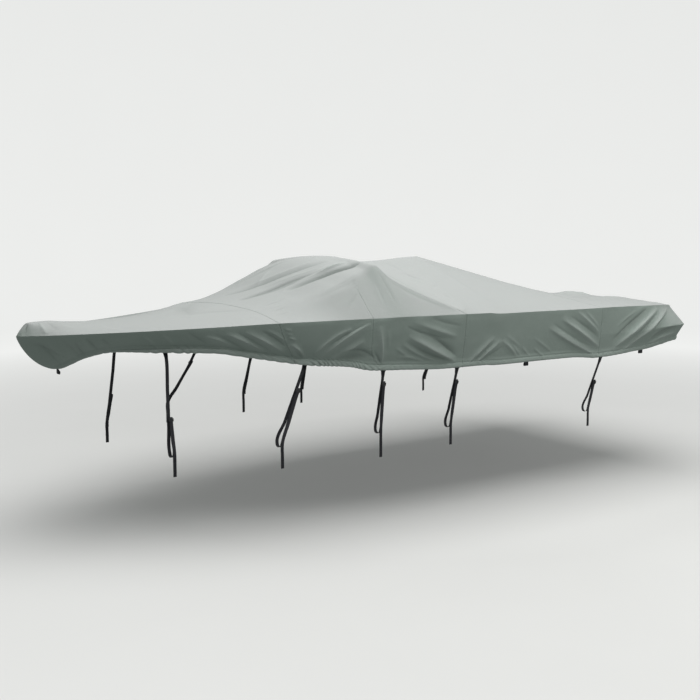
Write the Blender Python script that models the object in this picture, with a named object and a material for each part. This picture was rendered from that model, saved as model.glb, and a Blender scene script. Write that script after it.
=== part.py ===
"""Fitted cloth cover in its draped shape, with its webbing ties and loops.

Frame: +X runs aft from the nose, +Y to the far side, +Z up. The tables give stations
aft of the nose tip and heights above the ground, in metres. The origin is the point
under the tent peak at which the cover is held up.
"""
from collections import namedtuple
from math import pi

import bpy
import numpy as np

# ---- driving dimensions, metres ----
CLOTH = 0.002            # thickness of every cloth panel
SEAM_GAP = 0.0007        # between two panels at their seam
PEAK_STATION = 3.35      # the tent peak, where the cover is held up
PEAK_UNDERSIDE = 1.8705   # height of the cloth's lower face there
TAIL_STATION = 5.36      # where the top turns down at the tail
SEAM_STATIONS = (1.50, 2.95, 4.42)   # where the cross seams meet the rims
PANEL_NAMES = ("nose_panel", "dome_panel", "peak_panel", "tail_panel")
PULL_STATION = 2.95      # this seam bends forward on top, towards the dome's rear edge
PULL = 0.20
PULL_START, PULL_END = 2.42, 3.30
PULL_OUT = 0.80          # share of the half width inside which it is pulled fully
HEM_BAND = 0.84          # share of the skirt's depth at which the hem band starts
HEM_PUFF = 0.006         # how far the gathered band stands out
HANG_CURVE = 1.3         # how far from straight the skirt hangs: 1 is straight
TAIL_ROUND = 0.22        # length over which the skirt turns round a rear corner
FLARE_AT = 0.54          # share of the skirt's depth at which it stands out furthest
TAIL_FULLER = 0.25       # how much further aft the tail hangs at its middle

WEB_WIDTH = 0.025        # tie-down webbing
WEB_THICK = 0.0016
SEAT_GAP = 0.0005        # between webbing and the cloth it is sewn to
SEWN_UP = 0.030          # how far webbing reaches up behind the hem
TIE_TOP_WIDTH = 0.050    # a tie starts as a folded triangle, this wide at the hem
TIE_STRAIGHT = 0.016     # it stays in line with the cloth this far below the hem
TIE_TAPER = 0.050        # and reaches its own width this far below
STRAND_SPREAD = 0.007    # sideways half distance between a tie's two strands
STRAND_DEPTH = 0.006     # distance between webbing layers, front to back
FOOT_RADIUS = 0.020      # of the turn round whatever the tie is hooked under
FOLD_RADIUS = 0.003      # of the fold through the buckle
BUCKLE_WIDE, BUCKLE_THICK, BUCKLE_LONG = 0.034, 0.004, 0.022
BUCKLE_DOWN = 0.016      # from the fold to the middle of the buckle plate
LOOP_WIDTH = 0.042       # empty webbing loops at the hem
LOOP_DROP = 0.034
LOOP_GAP = 0.010         # inside the loop, front to back
LOOP_NECK = 0.014        # length over which its two layers part
LOOP_SEWN = 0.020        # how far its ends reach up behind the hem
NOSE_LOOP_BACK = 0.266   # where the nose loop hangs, aft of the nose tip
CORNER_LOOP_OUT = 0.90   # share of the tail's half width where a corner loop hangs

# One row for each cross section. half_width, rim: the crease where the top turns into
# the skirt. crest: height on the centre line. knee_out, knee_up: where the section
# bends most, as shares of the half width and of the rise from rim to crest.
# crest_round, knee_round: how softly it bends there, as shares of the half width.
Section = namedtuple(
    "Section",
    "station half_width rim crest knee_out knee_up crest_round knee_round",
)
SECTIONS = (
    Section(0.00, 0.000, 1.384, 1.384, 0.60, 0.62, 1.00, 0.30),
    Section(0.03, 0.060, 1.388, 1.425, 0.60, 0.62, 1.00, 0.30),
    Section(0.08, 0.130, 1.393, 1.470, 0.60, 0.62, 1.00, 0.30),
    Section(0.20, 0.250, 1.401, 1.478, 0.60, 0.62, 1.00, 0.30),
    Section(0.35, 0.355, 1.409, 1.466, 0.60, 0.62, 1.00, 0.30),
    Section(0.55, 0.455, 1.416, 1.455, 0.60, 0.62, 1.00, 0.30),
    Section(0.80, 0.560, 1.425, 1.458, 0.62, 0.63, 1.00, 0.30),
    Section(1.10, 0.700, 1.439, 1.480, 0.65, 0.64, 1.00, 0.30),
    Section(1.50, 0.880, 1.460, 1.540, 0.70, 0.66, 1.00, 0.28),
    Section(1.80, 0.960, 1.466, 1.635, 0.74, 0.70, 0.70, 0.20),
    Section(2.05, 1.015, 1.470, 1.768, 0.76, 0.70, 0.60, 0.15),
    Section(2.20, 1.040, 1.471, 1.842, 0.72, 0.76, 0.60, 0.10),
    Section(2.30, 1.055, 1.472, 1.874, 0.70, 0.80, 0.60, 0.06),
    Section(2.38, 1.066, 1.473, 1.887, 0.70, 0.88, 0.80, 0.05),
    Section(2.47, 1.080, 1.474, 1.885, 0.765, 0.64, 0.30, 0.05),
    Section(2.60, 1.098, 1.474, 1.858, 0.823, 0.46, 0.12, 0.03),
    Section(2.77, 1.113, 1.474, 1.838, 0.903, 0.25, 0.05, 0.03),
    Section(2.95, 1.120, 1.473, 1.845, 0.955, 0.08, 0.03, 0.03),
    Section(3.30, 1.120, 1.470, 1.874, 0.500, 0.50, 0.02, 0.03),
    Section(3.35, 1.120, 1.469, 1.876, 0.500, 0.50, 0.02, 0.03),
    Section(3.40, 1.120, 1.469, 1.865, 0.500, 0.50, 0.02, 0.03),
    Section(4.10, 1.120, 1.463, 1.694, 0.500, 0.50, 0.02, 0.03),
    Section(4.70, 1.112, 1.457, 1.546, 0.520, 0.50, 0.03, 0.05),
    Section(4.88, 1.105, 1.454, 1.502, 0.600, 0.56, 0.10, 0.10),
    Section(5.10, 1.088, 1.450, 1.496, 0.650, 0.64, 0.30, 0.20),
    Section(5.36, 1.050, 1.442, 1.480, 0.700, 0.68, 0.40, 0.20),
)

# How the skirt hangs from the rim. drop: down to the hem. back: how far aft of its rim
# point the hem lies. hem_half: half width at the hem. flare: how far the skirt stands
# out half way down. under: 1 where it curls under like a quarter circle, 0 where it
# hangs straight.
Hang = namedtuple("Hang", "station drop back hem_half flare under")
HANGS = (
    Hang(0.00, 0.238, 0.270, 0.000, 0.000, 1.0),
    Hang(0.03, 0.234, 0.262, 0.016, 0.000, 1.0),
    Hang(0.10, 0.212, 0.235, 0.070, 0.000, 0.9),
    Hang(0.25, 0.165, 0.175, 0.170, 0.003, 0.6),
    Hang(0.45, 0.135, 0.110, 0.290, 0.005, 0.2),
    Hang(0.70, 0.144, 0.060, 0.420, 0.005, 0.0),
    Hang(1.12, 0.176, 0.050, 0.635, 0.004, 0.0),
    Hang(1.25, 0.213, 0.100, 0.715, 0.004, 0.0),
    Hang(1.40, 0.256, 0.135, 0.778, 0.004, 0.0),
    Hang(1.50, 0.283, 0.160, 0.815, 0.004, 0.0),
    Hang(1.62, 0.303, 0.150, 0.850, 0.004, 0.0),
    Hang(1.80, 0.318, 0.110, 0.890, 0.004, 0.0),
    Hang(2.00, 0.338, 0.050, 0.930, 0.004, 0.0),
    Hang(2.20, 0.371, 0.005, 0.972, 0.004, 0.0),
    Hang(2.90, 0.400, 0.000, 1.060, 0.003, 0.0),
    Hang(3.60, 0.396, 0.000, 1.070, 0.003, 0.0),
    Hang(4.10, 0.394, 0.000, 1.075, 0.004, 0.0),
    Hang(4.42, 0.416, 0.000, 1.075, 0.008, 0.0),
    Hang(4.95, 0.382, 0.000, 1.080, 0.045, 0.0),
    Hang(5.36, 0.312, 0.035, 1.085, 0.115, 0.0),
)

# Main folds of the top. x, y: where the fold starts and ends. wide: its half width at
# the start and at the end. rise: its height, negative for a trough. both: 1 if the other
# side has it too.
TopFold = namedtuple("TopFold", "x0 y0 x1 y1 wide0 wide1 rise both")
TOP_FOLDS = (
    TopFold(1.85, -0.36, 2.35, -0.58, 0.026, 0.034, -0.018, 0),
    TopFold(1.95, -0.31, 2.32, -0.45, 0.030, 0.032, 0.010, 0),
    TopFold(1.60, -0.07, 2.20, -0.44, 0.034, 0.036, -0.010, 0),
    TopFold(1.67, 0.30, 2.28, -0.29, 0.034, 0.036, -0.007, 0),
    TopFold(1.90, 0.56, 2.24, 0.31, 0.032, 0.034, -0.007, 0),
    TopFold(1.84, 0.60, 2.35, 0.64, 0.034, 0.038, -0.010, 0),
    TopFold(1.88, 0.74, 2.24, 0.78, 0.026, 0.026, -0.004, 1),
    TopFold(2.31, 0.84, 2.33, 1.03, 0.020, 0.026, 0.005, 1),
    TopFold(2.46, 0.78, 2.94, 1.09, 0.028, 0.026, 0.008, 1),
    TopFold(2.44, 0.83, 2.91, 1.12, 0.024, 0.024, -0.009, 1),
    TopFold(0.08, 0.02, 0.16, 0.20, 0.026, 0.030, 0.005, 1),
    TopFold(4.95, 0.00, 5.36, 0.00, 0.080, 0.120, 0.026, 0),
    TopFold(5.05, -0.50, 5.36, -0.50, 0.080, 0.100, 0.012, 0),
    TopFold(5.15, 0.93, 5.36, 0.93, 0.050, 0.060, 0.008, 1),
)

# Main folds of the skirt. down: metres below the rim at the start and the end.
SkirtFold = namedtuple("SkirtFold", "x0 down0 x1 down1 wide rise")
SKIRT_FOLDS = (
    SkirtFold(1.05, 0.060, 1.23, 0.155, 0.026, 0.006),
    SkirtFold(1.18, 0.048, 1.43, 0.190, 0.026, 0.008),
    SkirtFold(1.29, 0.043, 1.56, 0.208, 0.026, 0.008),
    SkirtFold(1.58, 0.140, 1.67, 0.228, 0.026, 0.008),
    SkirtFold(1.76, 0.245, 2.01, 0.064, 0.026, 0.007),
    SkirtFold(1.80, 0.272, 2.15, 0.032, 0.028, 0.010),
    SkirtFold(1.88, 0.280, 2.12, 0.150, 0.028, 0.007),
    SkirtFold(1.92, 0.262, 2.19, 0.268, 0.026, -0.008),
    SkirtFold(2.23, 0.050, 2.26, 0.340, 0.028, 0.008),
    SkirtFold(2.45, 0.138, 2.89, 0.355, 0.032, 0.013),
    SkirtFold(2.60, 0.120, 2.90, 0.300, 0.026, -0.006),
    SkirtFold(2.49, 0.042, 2.88, 0.167, 0.028, 0.005),
    SkirtFold(3.01, 0.370, 3.25, 0.184, 0.026, 0.006),
    SkirtFold(3.09, 0.375, 3.32, 0.205, 0.026, 0.006),
    SkirtFold(3.32, 0.208, 3.52, 0.350, 0.026, 0.005),
    SkirtFold(3.81, 0.130, 4.39, 0.395, 0.030, 0.010),
    SkirtFold(3.95, 0.065, 4.42, 0.330, 0.030, 0.011),
    SkirtFold(4.12, 0.017, 4.40, 0.209, 0.026, 0.006),
    SkirtFold(4.57, 0.290, 5.01, 0.021, 0.028, -0.006),
    SkirtFold(4.57, 0.370, 5.16, 0.025, 0.030, 0.012),
    SkirtFold(4.69, 0.392, 5.30, 0.022, 0.028, 0.011),
    SkirtFold(5.03, 0.296, 5.33, 0.180, 0.026, -0.010),
    SkirtFold(5.02, 0.335, 5.36, 0.242, 0.026, 0.007),
)

# Rows of the cloth: how far apart they stand, up to each station.
RowZone = namedtuple("RowZone", "end spacing")
ROW_ZONES = (
    RowZone(0.03, 0.030),
    RowZone(0.08, 0.025),
    RowZone(0.20, 0.040),
    RowZone(0.90, 0.075),
    RowZone(1.50, 0.065),
    RowZone(2.17, 0.062),
    RowZone(2.47, 0.050),
    RowZone(2.95, 0.065),
    RowZone(3.30, 0.065),
    RowZone(3.35, 0.050),
    RowZone(3.40, 0.050),
    RowZone(3.85, 0.075),
    RowZone(4.42, 0.062),
    RowZone(5.36, 0.055),
)
TOP_COLUMNS = (0.0, 0.13, 0.27, 0.41, 0.54, 0.63, 0.70, 0.77, 0.85, 0.93)
SKIRT_COLUMNS = (0.0, 0.16, 0.34, 0.52, 0.70, 0.84, 0.93, 1.0)

# Tie-downs, one row each, for each side. station: along the rim, at the hem. foot_x,
# foot_y: where the strap turns back up, foot_up: how high. join: share of the way
# down at which the buckle sits. tail: how far the free end hangs below the foot.
# clear: how much further in than its gap it's set, as the cloth bends over its width.
Tie = namedtuple("Tie", "station foot_x foot_y foot_up join tail clear")
TIES = (
    Tie(0.80, 0.82, 0.60, 0.60, 0.65, 0.150, 0.0016),
    Tie(1.575, 1.46, 0.92, 0.65, 0.32, 0.165, 0.0010),
    Tie(2.29, 2.22, 1.00, 0.67, 0.20, 0.190, 0.0001),
    Tie(2.92, 2.84, 1.03, 0.65, 0.22, 0.150, 0.0001),
    Tie(4.47, 4.30, 1.05, 0.62, 0.45, 0.140, 0.0),
)
LOOP_STATIONS = (3.62, 4.97)

# Colours as the photograph shows them, without its light and shade.
CLOTH_COLOUR = (0.235, 0.285, 0.265)
WEB_COLOUR = (0.014, 0.014, 0.019)
BUCKLE_COLOUR = (0.010, 0.010, 0.012)
SHARP_ANGLE = 0.9        # edges that bend more than this, in radians, stay sharp
SIDES = (("near", -1), ("far", 1))
AFT = np.array([1.0, 0.0, 0.0])
FAR = np.array([0.0, 1.0, 0.0])


def ease(values, stations, x):
    """A column of a table at x, on a smooth curve that never overshoots its rows."""
    stations = np.asarray(stations, float)
    values = np.asarray(values, float)
    step = np.diff(stations)
    slope = np.diff(values) / step
    tangent = np.zeros(len(values))
    same_way = slope[:-1] * slope[1:] > 0
    mean = 2 * slope[:-1] * slope[1:] / np.where(same_way, slope[:-1] + slope[1:], 1)
    tangent[1:-1] = np.where(same_way, mean, 0)
    tangent[0], tangent[-1] = slope[0], slope[-1]
    x = np.clip(x, stations[0], stations[-1])
    i = np.clip(np.searchsorted(stations, x, side="right") - 1, 0, len(step) - 1)
    t = (x - stations[i]) / step[i]
    return (
        values[i] * (1 + 2 * t) * (1 - t) ** 2
        + tangent[i] * step[i] * t * (1 - t) ** 2
        + values[i + 1] * t * t * (3 - 2 * t)
        + tangent[i + 1] * step[i] * t * t * (t - 1)
    )


def column(table, name, x):
    return ease([getattr(row, name) for row in table], [row.station for row in table], x)


def rise_share(x, s):
    """Height above the rim as a share of the crest's, at share s of the half width."""
    out = column(SECTIONS, "knee_out", x)
    up = column(SECTIONS, "knee_up", x)
    crest_round = column(SECTIONS, "crest_round", x)
    knee_round = column(SECTIONS, "knee_round", x)

    def bent(value):
        return np.sqrt(value**2 + crest_round**2) - crest_round

    upper = 1 - (1 - up) * bent(s) / bent(out)
    lower = up * (1 - s) / (1 - out)
    blend = np.maximum(knee_round - np.abs(upper - lower), 0)
    fade = np.clip((1 - s) * 4, 0, 1)
    return np.minimum(upper, lower) - fade * blend**2 / (4 * knee_round)


def along(px, py, x0, y0, x1, y1):
    """Distance to a line, and how far along it, with 0 at its start and 1 at its end."""
    dx, dy = x1 - x0, y1 - y0
    length = np.hypot(dx, dy)
    share = ((px - x0) * dx + (py - y0) * dy) / length**2
    away = ((px - x0) * dy - (py - y0) * dx) / length
    return away, share


def swell(share):
    """Fades a fold in and out at its ends."""
    inside = np.clip(share, 0, 1)
    return np.sin(pi * inside) ** 0.7


def top_relief(x, y):
    total = np.zeros(np.broadcast(x, y).shape)
    for fold in TOP_FOLDS:
        for place in ((y, -y) if fold.both else (y,)):
            away, share = along(x, place, fold.x0, fold.y0, fold.x1, fold.y1)
            wide = fold.wide0 + (fold.wide1 - fold.wide0) * np.clip(share, 0, 1)
            at_tail = np.clip(share * 1.6, 0, 1) ** 2 * (share < 1.02)
            taper = at_tail if fold.x1 >= TAIL_STATION else swell(share)
            total += fold.rise * taper * np.exp(-((away / wide) ** 2))
    return total


def skirt_relief(place_x, down, a):
    """How far folds stand out at a place aft of the nose and below the rim, in metres."""
    total = np.zeros(a.shape)
    for fold in SKIRT_FOLDS:
        away, share = along(place_x, down, fold.x0, fold.down0, fold.x1, fold.down1)
        total += fold.rise * swell(share) * np.exp(-((away / fold.wide) ** 2))
    band = np.clip((a - HEM_BAND) / (1 - HEM_BAND), 0, 1)
    return total + HEM_PUFF * np.sin(pi * band)


def outward(x, side):
    """The level direction away from the rim; it turns aft round the rear corners."""
    low = np.clip(x - 0.01, 0, None)
    high = np.clip(x + 0.01, None, TAIL_STATION)
    gain = column(SECTIONS, "half_width", high) - column(SECTIONS, "half_width", low)
    angle = np.arctan2(gain, high - low)
    corner = np.clip((x - TAIL_STATION + TAIL_ROUND) / TAIL_ROUND, 0, 1)
    angle = angle - (angle + pi / 4) * corner**2
    return np.stack([-np.sin(angle), side * np.cos(angle), 0 * angle], axis=-1)


def pulled_station(x, s):
    """Where a row lies on top: the rows behind the dome bend forward inside the rims."""
    before = np.clip((x - PULL_START) / (PULL_STATION - PULL_START), 0, 1)
    after = np.clip((PULL_END - x) / (PULL_END - PULL_STATION), 0, 1)
    inside = np.clip((1 - s) / (1 - PULL_OUT), 0, 1)
    return x - PULL * np.minimum(before, after) * inside


def surface(x, v):
    """The outer face at station x. v runs from -2, the near hem, by -1, the near rim,
    0, the crest, and 1, the far rim, to 2, the far hem."""
    x, v = np.broadcast_arrays(np.asarray(x, float), np.asarray(v, float))
    side = np.where(v < 0, -1.0, 1.0)
    s = np.minimum(np.abs(v), 1)
    a = np.maximum(np.abs(v) - 1, 0)
    x = pulled_station(x, s)
    half = column(SECTIONS, "half_width", x)
    rim = column(SECTIONS, "rim", x)
    crest = column(SECTIONS, "crest", x)
    height = rim + (crest - rim) * rise_share(x, s)
    height = height + top_relief(x, side * s * half) * np.clip((1 - s) * 6, 0, 1)
    inset, down = hang_profile(x, a)
    back = column(HANGS, "back", x) * inset
    width = s * half + (column(HANGS, "hem_half", x) - half) * inset
    kinked = np.minimum(a / FLARE_AT, (1 - a) / (1 - FLARE_AT))
    bulge = column(HANGS, "flare", x) * kinked + skirt_relief(x + back, down, a) * s**8
    place = np.stack([x + back, side * width, height - down], axis=-1)
    place = place + outward(x, side) * bulge[..., None]
    place[..., 1] *= np.clip(x / 0.01, 0, 1)
    return place


def hang_profile(x, a):
    """How far the skirt has gone towards the hem's plan, as a share, and how far down
    it is, in metres, at share a of its depth."""
    under = column(HANGS, "under", x)
    turn = a * pi / 2
    down = column(HANGS, "drop", x) * ((1 - under) * a + under * np.sin(turn) ** 1.54)
    inset = (1 - under) * a**HANG_CURVE + under * (1 - np.cos(turn))
    return inset, down


def tail_surface(r, s):
    """The cloth that hangs down behind: r runs from the top edge, 0, to the hem, 1."""
    r, s = np.broadcast_arrays(np.asarray(r, float), np.asarray(s, float))
    edge = surface(TAIL_STATION + 0 * s, s)
    corner = surface(TAIL_STATION + 0 * r, 1 + r)
    top_corner, hem_corner = surface(TAIL_STATION, 1.0), surface(TAIL_STATION, 2.0)
    aft = corner[..., 0] - TAIL_STATION
    wider = (corner[..., 1] - top_corner[1]) / top_corner[1]
    fallen = (top_corner[2] - corner[..., 2]) / (top_corner[2] - hem_corner[2])
    middle = 1 - np.abs(s) ** 6
    place = edge.copy()
    place[..., 0] += aft * (1 + TAIL_FULLER * middle)
    place[..., 1] *= 1 + wider * np.abs(s)
    place[..., 2] += (hem_corner[2] - edge[..., 2]) * fallen
    return place


def facing(function, u, w, reach=0.003):
    """Unit normals of a surface, found by small steps both ways."""
    across = function(u, w + reach) - function(u, w - reach)
    onward = function(u + reach, w) - function(u - reach, w)
    normal = np.cross(onward, across)
    return normal / np.maximum(np.linalg.norm(normal, axis=-1, keepdims=True), 1e-12)


def to_origin(points):
    return points - np.array([PEAK_STATION, 0.0, PEAK_UNDERSIDE])


def station_rows(start, end):
    """Stations of the rows between two seams, both included."""
    rows = [start]
    for zone in ROW_ZONES:
        last = rows[-1]
        stop = min(zone.end, end)
        if stop > last + 1e-6:
            count = max(1, round((stop - last) / zone.spacing))
            rows += list(np.linspace(last, stop, count + 1)[1:])
    return np.array(rows)


def all_columns():
    top = np.array(TOP_COLUMNS)
    skirt = 1 + np.array(SKIRT_COLUMNS)
    half = np.concatenate([top, skirt])
    return np.concatenate([-half[:0:-1], half])


def split(face, points):
    """A quad's two triangles, cut along its shorter diagonal."""
    if len(face) == 3:
        return [face]
    a, b, c, d = face
    if np.linalg.norm(points[a] - points[c]) < np.linalg.norm(points[b] - points[d]):
        return [(a, b, c), (a, c, d)]
    return [(a, b, d), (b, c, d)]


def closed_sheet(name, outer, inner, quads):
    """A closed solid from a sheet's outer and inner faces and its quads. Both faces are
    cut into the same triangles, so that they stay apart where a quad is twisted."""
    count = len(outer)
    sheet = [t for q in quads for t in split(q, outer)]
    faces = sheet + [tuple(count + i for i in reversed(t)) for t in sheet]
    border = {}
    for t in sheet:
        for a, b in zip(t, t[1:] + t[:1]):
            if (b, a) in border:
                del border[(b, a)]
            else:
                border[(a, b)] = True
    faces += [(b, a, count + a, count + b) for a, b in border]
    mesh = bpy.data.meshes.new(name)
    mesh.from_pydata([tuple(p) for p in np.concatenate([outer, inner])], [], faces)
    mesh.validate()
    return mesh


def panel(name, start, end):
    """One cross panel, from hem to hem. The last one also hangs down behind."""
    rows = station_rows(start, end)
    lines = all_columns()
    grid_x, grid_v = np.meshgrid(rows, lines, indexing="ij")
    outer = surface(grid_x, grid_v)
    normal = facing(surface, np.maximum(grid_x, 0.004), grid_v)
    if start == 0:
        normal[0, :, 1] = 0
        normal[0] /= np.linalg.norm(normal[0], axis=-1, keepdims=True)
    index = np.arange(outer.shape[0] * outer.shape[1]).reshape(outer.shape[:2])
    if start == 0:
        middle = len(lines) // 2
        index[0, middle + 1:] = index[0, middle - 1::-1]
        index[0, np.abs(lines) <= 1] = index[0, middle]
    for row, way in ((0, 1), (-1, -1)):
        if rows[row] in SEAM_STATIONS:
            outer[row] += way * SEAM_GAP / 2 * off_seam(outer[row], normal[row])
    points, normals = list(outer.reshape(-1, 3)), list(normal.reshape(-1, 3))
    quads = grid_quads(index)
    if end == TAIL_STATION:
        more = add_tail(index, lines, points, normals)
        quads += grid_quads(more)
    outer, normal = np.array(points), np.array(normals)
    used = sorted({i for q in quads for i in q})
    place = {old: new for new, old in enumerate(used)}
    quads = [tuple(place[i] for i in q) for q in quads]
    quads = [q for q in (tuple(dict.fromkeys(q)) for q in quads) if len(q) > 2]
    outer, normal = to_origin(outer[used]), normal[used]
    return closed_sheet(name, outer, outer - CLOTH * normal, quads)


def off_seam(line, normal):
    """Unit directions aft, square to a seam and level with the cloth there."""
    aside = np.cross(np.gradient(line, axis=0), normal)
    return aside / np.linalg.norm(aside, axis=-1, keepdims=True)


def grid_quads(index):
    """The quads of a grid of point numbers, wound so that they face outwards."""
    quads = []
    for i in range(index.shape[0] - 1):
        for j in range(index.shape[1] - 1):
            corner = (index[i, j], index[i + 1, j], index[i + 1, j + 1], index[i, j + 1])
            quads.append(tuple(int(c) for c in corner))
    return quads


def add_tail(index, lines, points, normals):
    """Adds the points that hang behind, and returns their grid of numbers."""
    on_top = np.abs(lines) <= 1 + 1e-9
    across = lines[on_top]
    down = np.array(SKIRT_COLUMNS)
    grid_r, grid_s = np.meshgrid(down, across, indexing="ij")
    place = tail_surface(grid_r, grid_s)
    normal = facing(tail_surface, np.maximum(grid_r, 0.01), np.clip(grid_s, -0.99, 0.99))
    last = index[-1]
    first_top = int(np.argmax(on_top))
    last_top = len(lines) - 1 - first_top
    grid = np.zeros(grid_r.shape, int)
    grid[0] = last[on_top]
    for k in range(len(down)):
        grid[k, 0] = last[first_top - k]
        grid[k, -1] = last[last_top + k]
    for k in range(1, len(down)):
        for j in range(1, len(across) - 1):
            grid[k, j] = len(points)
            points.append(place[k, j])
            normals.append(normal[k, j])
    for j in range(len(across)):
        blend_normal(normals, grid[0, j], normal[0, j])
    for k in range(1, len(down)):
        blend_normal(normals, grid[k, 0], normal[k, 0])
        blend_normal(normals, grid[k, -1], normal[k, -1])
    return grid


def blend_normal(normals, i, other):
    total = normals[i] + other
    normals[i] = total / np.linalg.norm(total)


def unit(vector):
    return vector / np.linalg.norm(vector)


def ribbon(name, path, wide, flat, thick):
    """A closed strip of webbing. path: its middle line. wide: its width at each point.
    flat: the direction across it at each point."""
    path, flat = np.array(path, float), np.array(flat, float)
    run = np.gradient(path, axis=0)
    run /= np.linalg.norm(run, axis=1, keepdims=True)
    flat = flat - (flat * run).sum(1, keepdims=True) * run
    flat /= np.linalg.norm(flat, axis=1, keepdims=True)
    face = np.cross(run, flat)
    half = np.array(wide, float)[:, None] / 2
    corners = [(-1, -1), (1, -1), (1, 1), (-1, 1)]
    rings = [path + flat * half * i + face * thick / 2 * j for i, j in corners]
    points = np.stack(rings, axis=1).reshape(-1, 3)
    faces = [(3, 2, 1, 0)]
    for k in range(len(path) - 1):
        for c in range(4):
            a, b = 4 * k + c, 4 * k + (c + 1) % 4
            faces.append((a, b, b + 4, a + 4))
    end = 4 * (len(path) - 1)
    faces.append((end, end + 1, end + 2, end + 3))
    mesh = bpy.data.meshes.new(name)
    mesh.from_pydata([tuple(p) for p in to_origin(points)], [], faces)
    return mesh


def side_hem(station, side):
    """The outer face near a place on a side's hem, by metres along and share straight
    up, whichever way the cloth's rows slant there."""
    back = column(HANGS, "back", station)

    def place(along_hem, up):
        inset, _ = hang_profile(station, 1 - up)
        return surface(station + along_hem + back * (1 - inset), side * (2 - up))

    return place


def tail_hem(side):
    """The same near a rear corner, on the cloth that hangs behind."""
    middle = side * CORNER_LOOP_OUT
    half = SECTIONS[-1].half_width
    return lambda along_hem, up: tail_surface(1 - up, middle + along_hem / half)


def behind(cloth, half_wide, out, sewn):
    """The middle of a strip of webbing at the hem's edge, just behind the cloth. sewn:
    how far up it reaches, as a share of the skirt's depth."""
    edge = cloth(0.0, 0.0)
    shares = [(i, j) for i in np.linspace(-1, 1, 7) for j in np.linspace(0, 1, 5)]
    nearest = min(float((cloth(half_wide * i, sewn * j) - edge) @ out) for i, j in shares)
    return edge + out * (nearest - CLOTH - SEAT_GAP - WEB_THICK / 2)


def seat(cloth, half_wide, clear):
    """Where webbing is sewn flat behind a hem: its middle at the hem's edge, and the
    unit directions along the hem and up the cloth. clear: how far in it's set."""
    edge = cloth(0.0, 0.0)
    rise = cloth(0.0, 1 - HEM_BAND) - edge
    sewn = (1 - HEM_BAND) * SEWN_UP / np.linalg.norm(rise)
    up = unit(cloth(0.0, sewn) - edge)
    hem_run = unit(cloth(half_wide, 0.0) - cloth(-half_wide, 0.0))
    out = unit(np.cross(hem_run, up)) * -np.sign(edge[1])
    return behind(cloth, half_wide, out, sewn) - out * clear, hem_run, up


def arc(centre, start, over, turn_from, turn_to, count):
    """Points on an arc. start, over: its radius vectors at 0 and at a quarter turn."""
    turns = np.linspace(turn_from, turn_to, count)
    return [centre + start * np.cos(t) + over * np.sin(t) for t in turns]


def tie_path(tie, side):
    """The middle line of a tie: from behind the hem down to its foot, back up to the
    buckle, over, and down again to the free end. Also where the fold lies in the list."""
    cloth = side_hem(tie.station, side)
    middle, hem_run, up = seat(cloth, TIE_TOP_WIDTH / 2, tie.clear)
    away = FAR * side
    foot = np.array([tie.foot_x, side * tie.foot_y, tie.foot_up])
    down = unit(foot - middle)
    first = middle + down * TIE_TAPER
    inner = foot - AFT * STRAND_SPREAD
    outer = foot + AFT * STRAND_SPREAD + away * 2 * FOOT_RADIUS
    join = middle + (foot - middle) * tie.join + AFT * STRAND_SPREAD + away * STRAND_DEPTH
    points = [middle + up * SEWN_UP, middle + up * SEWN_UP / 2, middle]
    points += [middle - up * TIE_STRAIGHT, first]
    points += [first + (inner - first) * t for t in (0.35, 0.7, 1.0)]
    centre = (inner + outer) / 2
    drop = np.array([0.0, 0.0, -FOOT_RADIUS])
    points += arc(centre, inner - centre, drop, pi / 6, 5 * pi / 6, 5)
    points += [outer + (join - outer) * t for t in (0.0, 0.35, 0.7, 1.0)]
    fold_centre = join + away * FOLD_RADIUS
    over = -unit(outer - join) * FOLD_RADIUS
    points += arc(fold_centre, -away * FOLD_RADIUS, over, pi / 6, pi, 5)
    fold = len(points) - 1
    hang = outer + away * STRAND_DEPTH
    points += [points[-1] + (hang - points[-1]) * t for t in (0.2, 0.6, 1.0)]
    free = hang + np.array([0.0, 0.0, -tie.tail])
    points += [hang + (free - hang) * t for t in (0.5, 1.0)]
    flats = [hem_run] * 3 + [AFT] * (len(points) - 3)
    wide = [TIE_TOP_WIDTH] * 3 + [(TIE_TOP_WIDTH + WEB_WIDTH) / 2]
    wide += [WEB_WIDTH] * (len(points) - 4)
    return points, wide, flats, fold


def tie_strap(name, tie, side):
    points, wide, flats, _ = tie_path(tie, side)
    return ribbon(name, points, wide, flats, WEB_THICK)


def buckle_plate(name, tie, side):
    """A flat plate over the free end, just below the fold."""
    points, _, _, fold = tie_path(tie, side)
    run = unit(points[fold + 1] - points[fold])
    flat = unit(AFT - (AFT @ run) * run)
    out = np.cross(run, flat)
    out *= np.sign(out[1]) * side
    middle = points[fold] + run * BUCKLE_DOWN
    middle = middle + out * (WEB_THICK / 2 + SEAT_GAP + BUCKLE_THICK / 2)
    ends = [middle - run * BUCKLE_LONG / 2, middle + run * BUCKLE_LONG / 2]
    return ribbon(name, ends, [BUCKLE_WIDE] * 2, [flat] * 2, BUCKLE_THICK)


def loop_strip(name, top, out, across, sewn):
    """A strip of webbing folded in two: its ends at the hem, its fold hanging below.
    top: the front layer at the hem's edge. sewn: how far the ends reach above that."""
    up = np.array([0.0, 0.0, 1.0])
    layer = WEB_THICK + SEAT_GAP
    back = LOOP_GAP + WEB_THICK
    radius = back / 2
    low = radius + WEB_THICK / 2 - LOOP_DROP
    points = [top + up * sewn, top, top + up * low / 2]
    points += arc(top + up * low - out * radius, out * radius, -up * radius, 0, pi, 7)
    points += [top - up * LOOP_NECK - out * back, top - out * layer]
    points += [top + up * sewn - out * layer]
    count = len(points)
    return ribbon(name, points, [LOOP_WIDTH] * count, [across] * count, WEB_THICK)


def hem_loop(name, cloth, out, across):
    top = behind(cloth, LOOP_WIDTH / 2, out, 0.0)
    return loop_strip(name, top, out, across, LOOP_SEWN)


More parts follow.
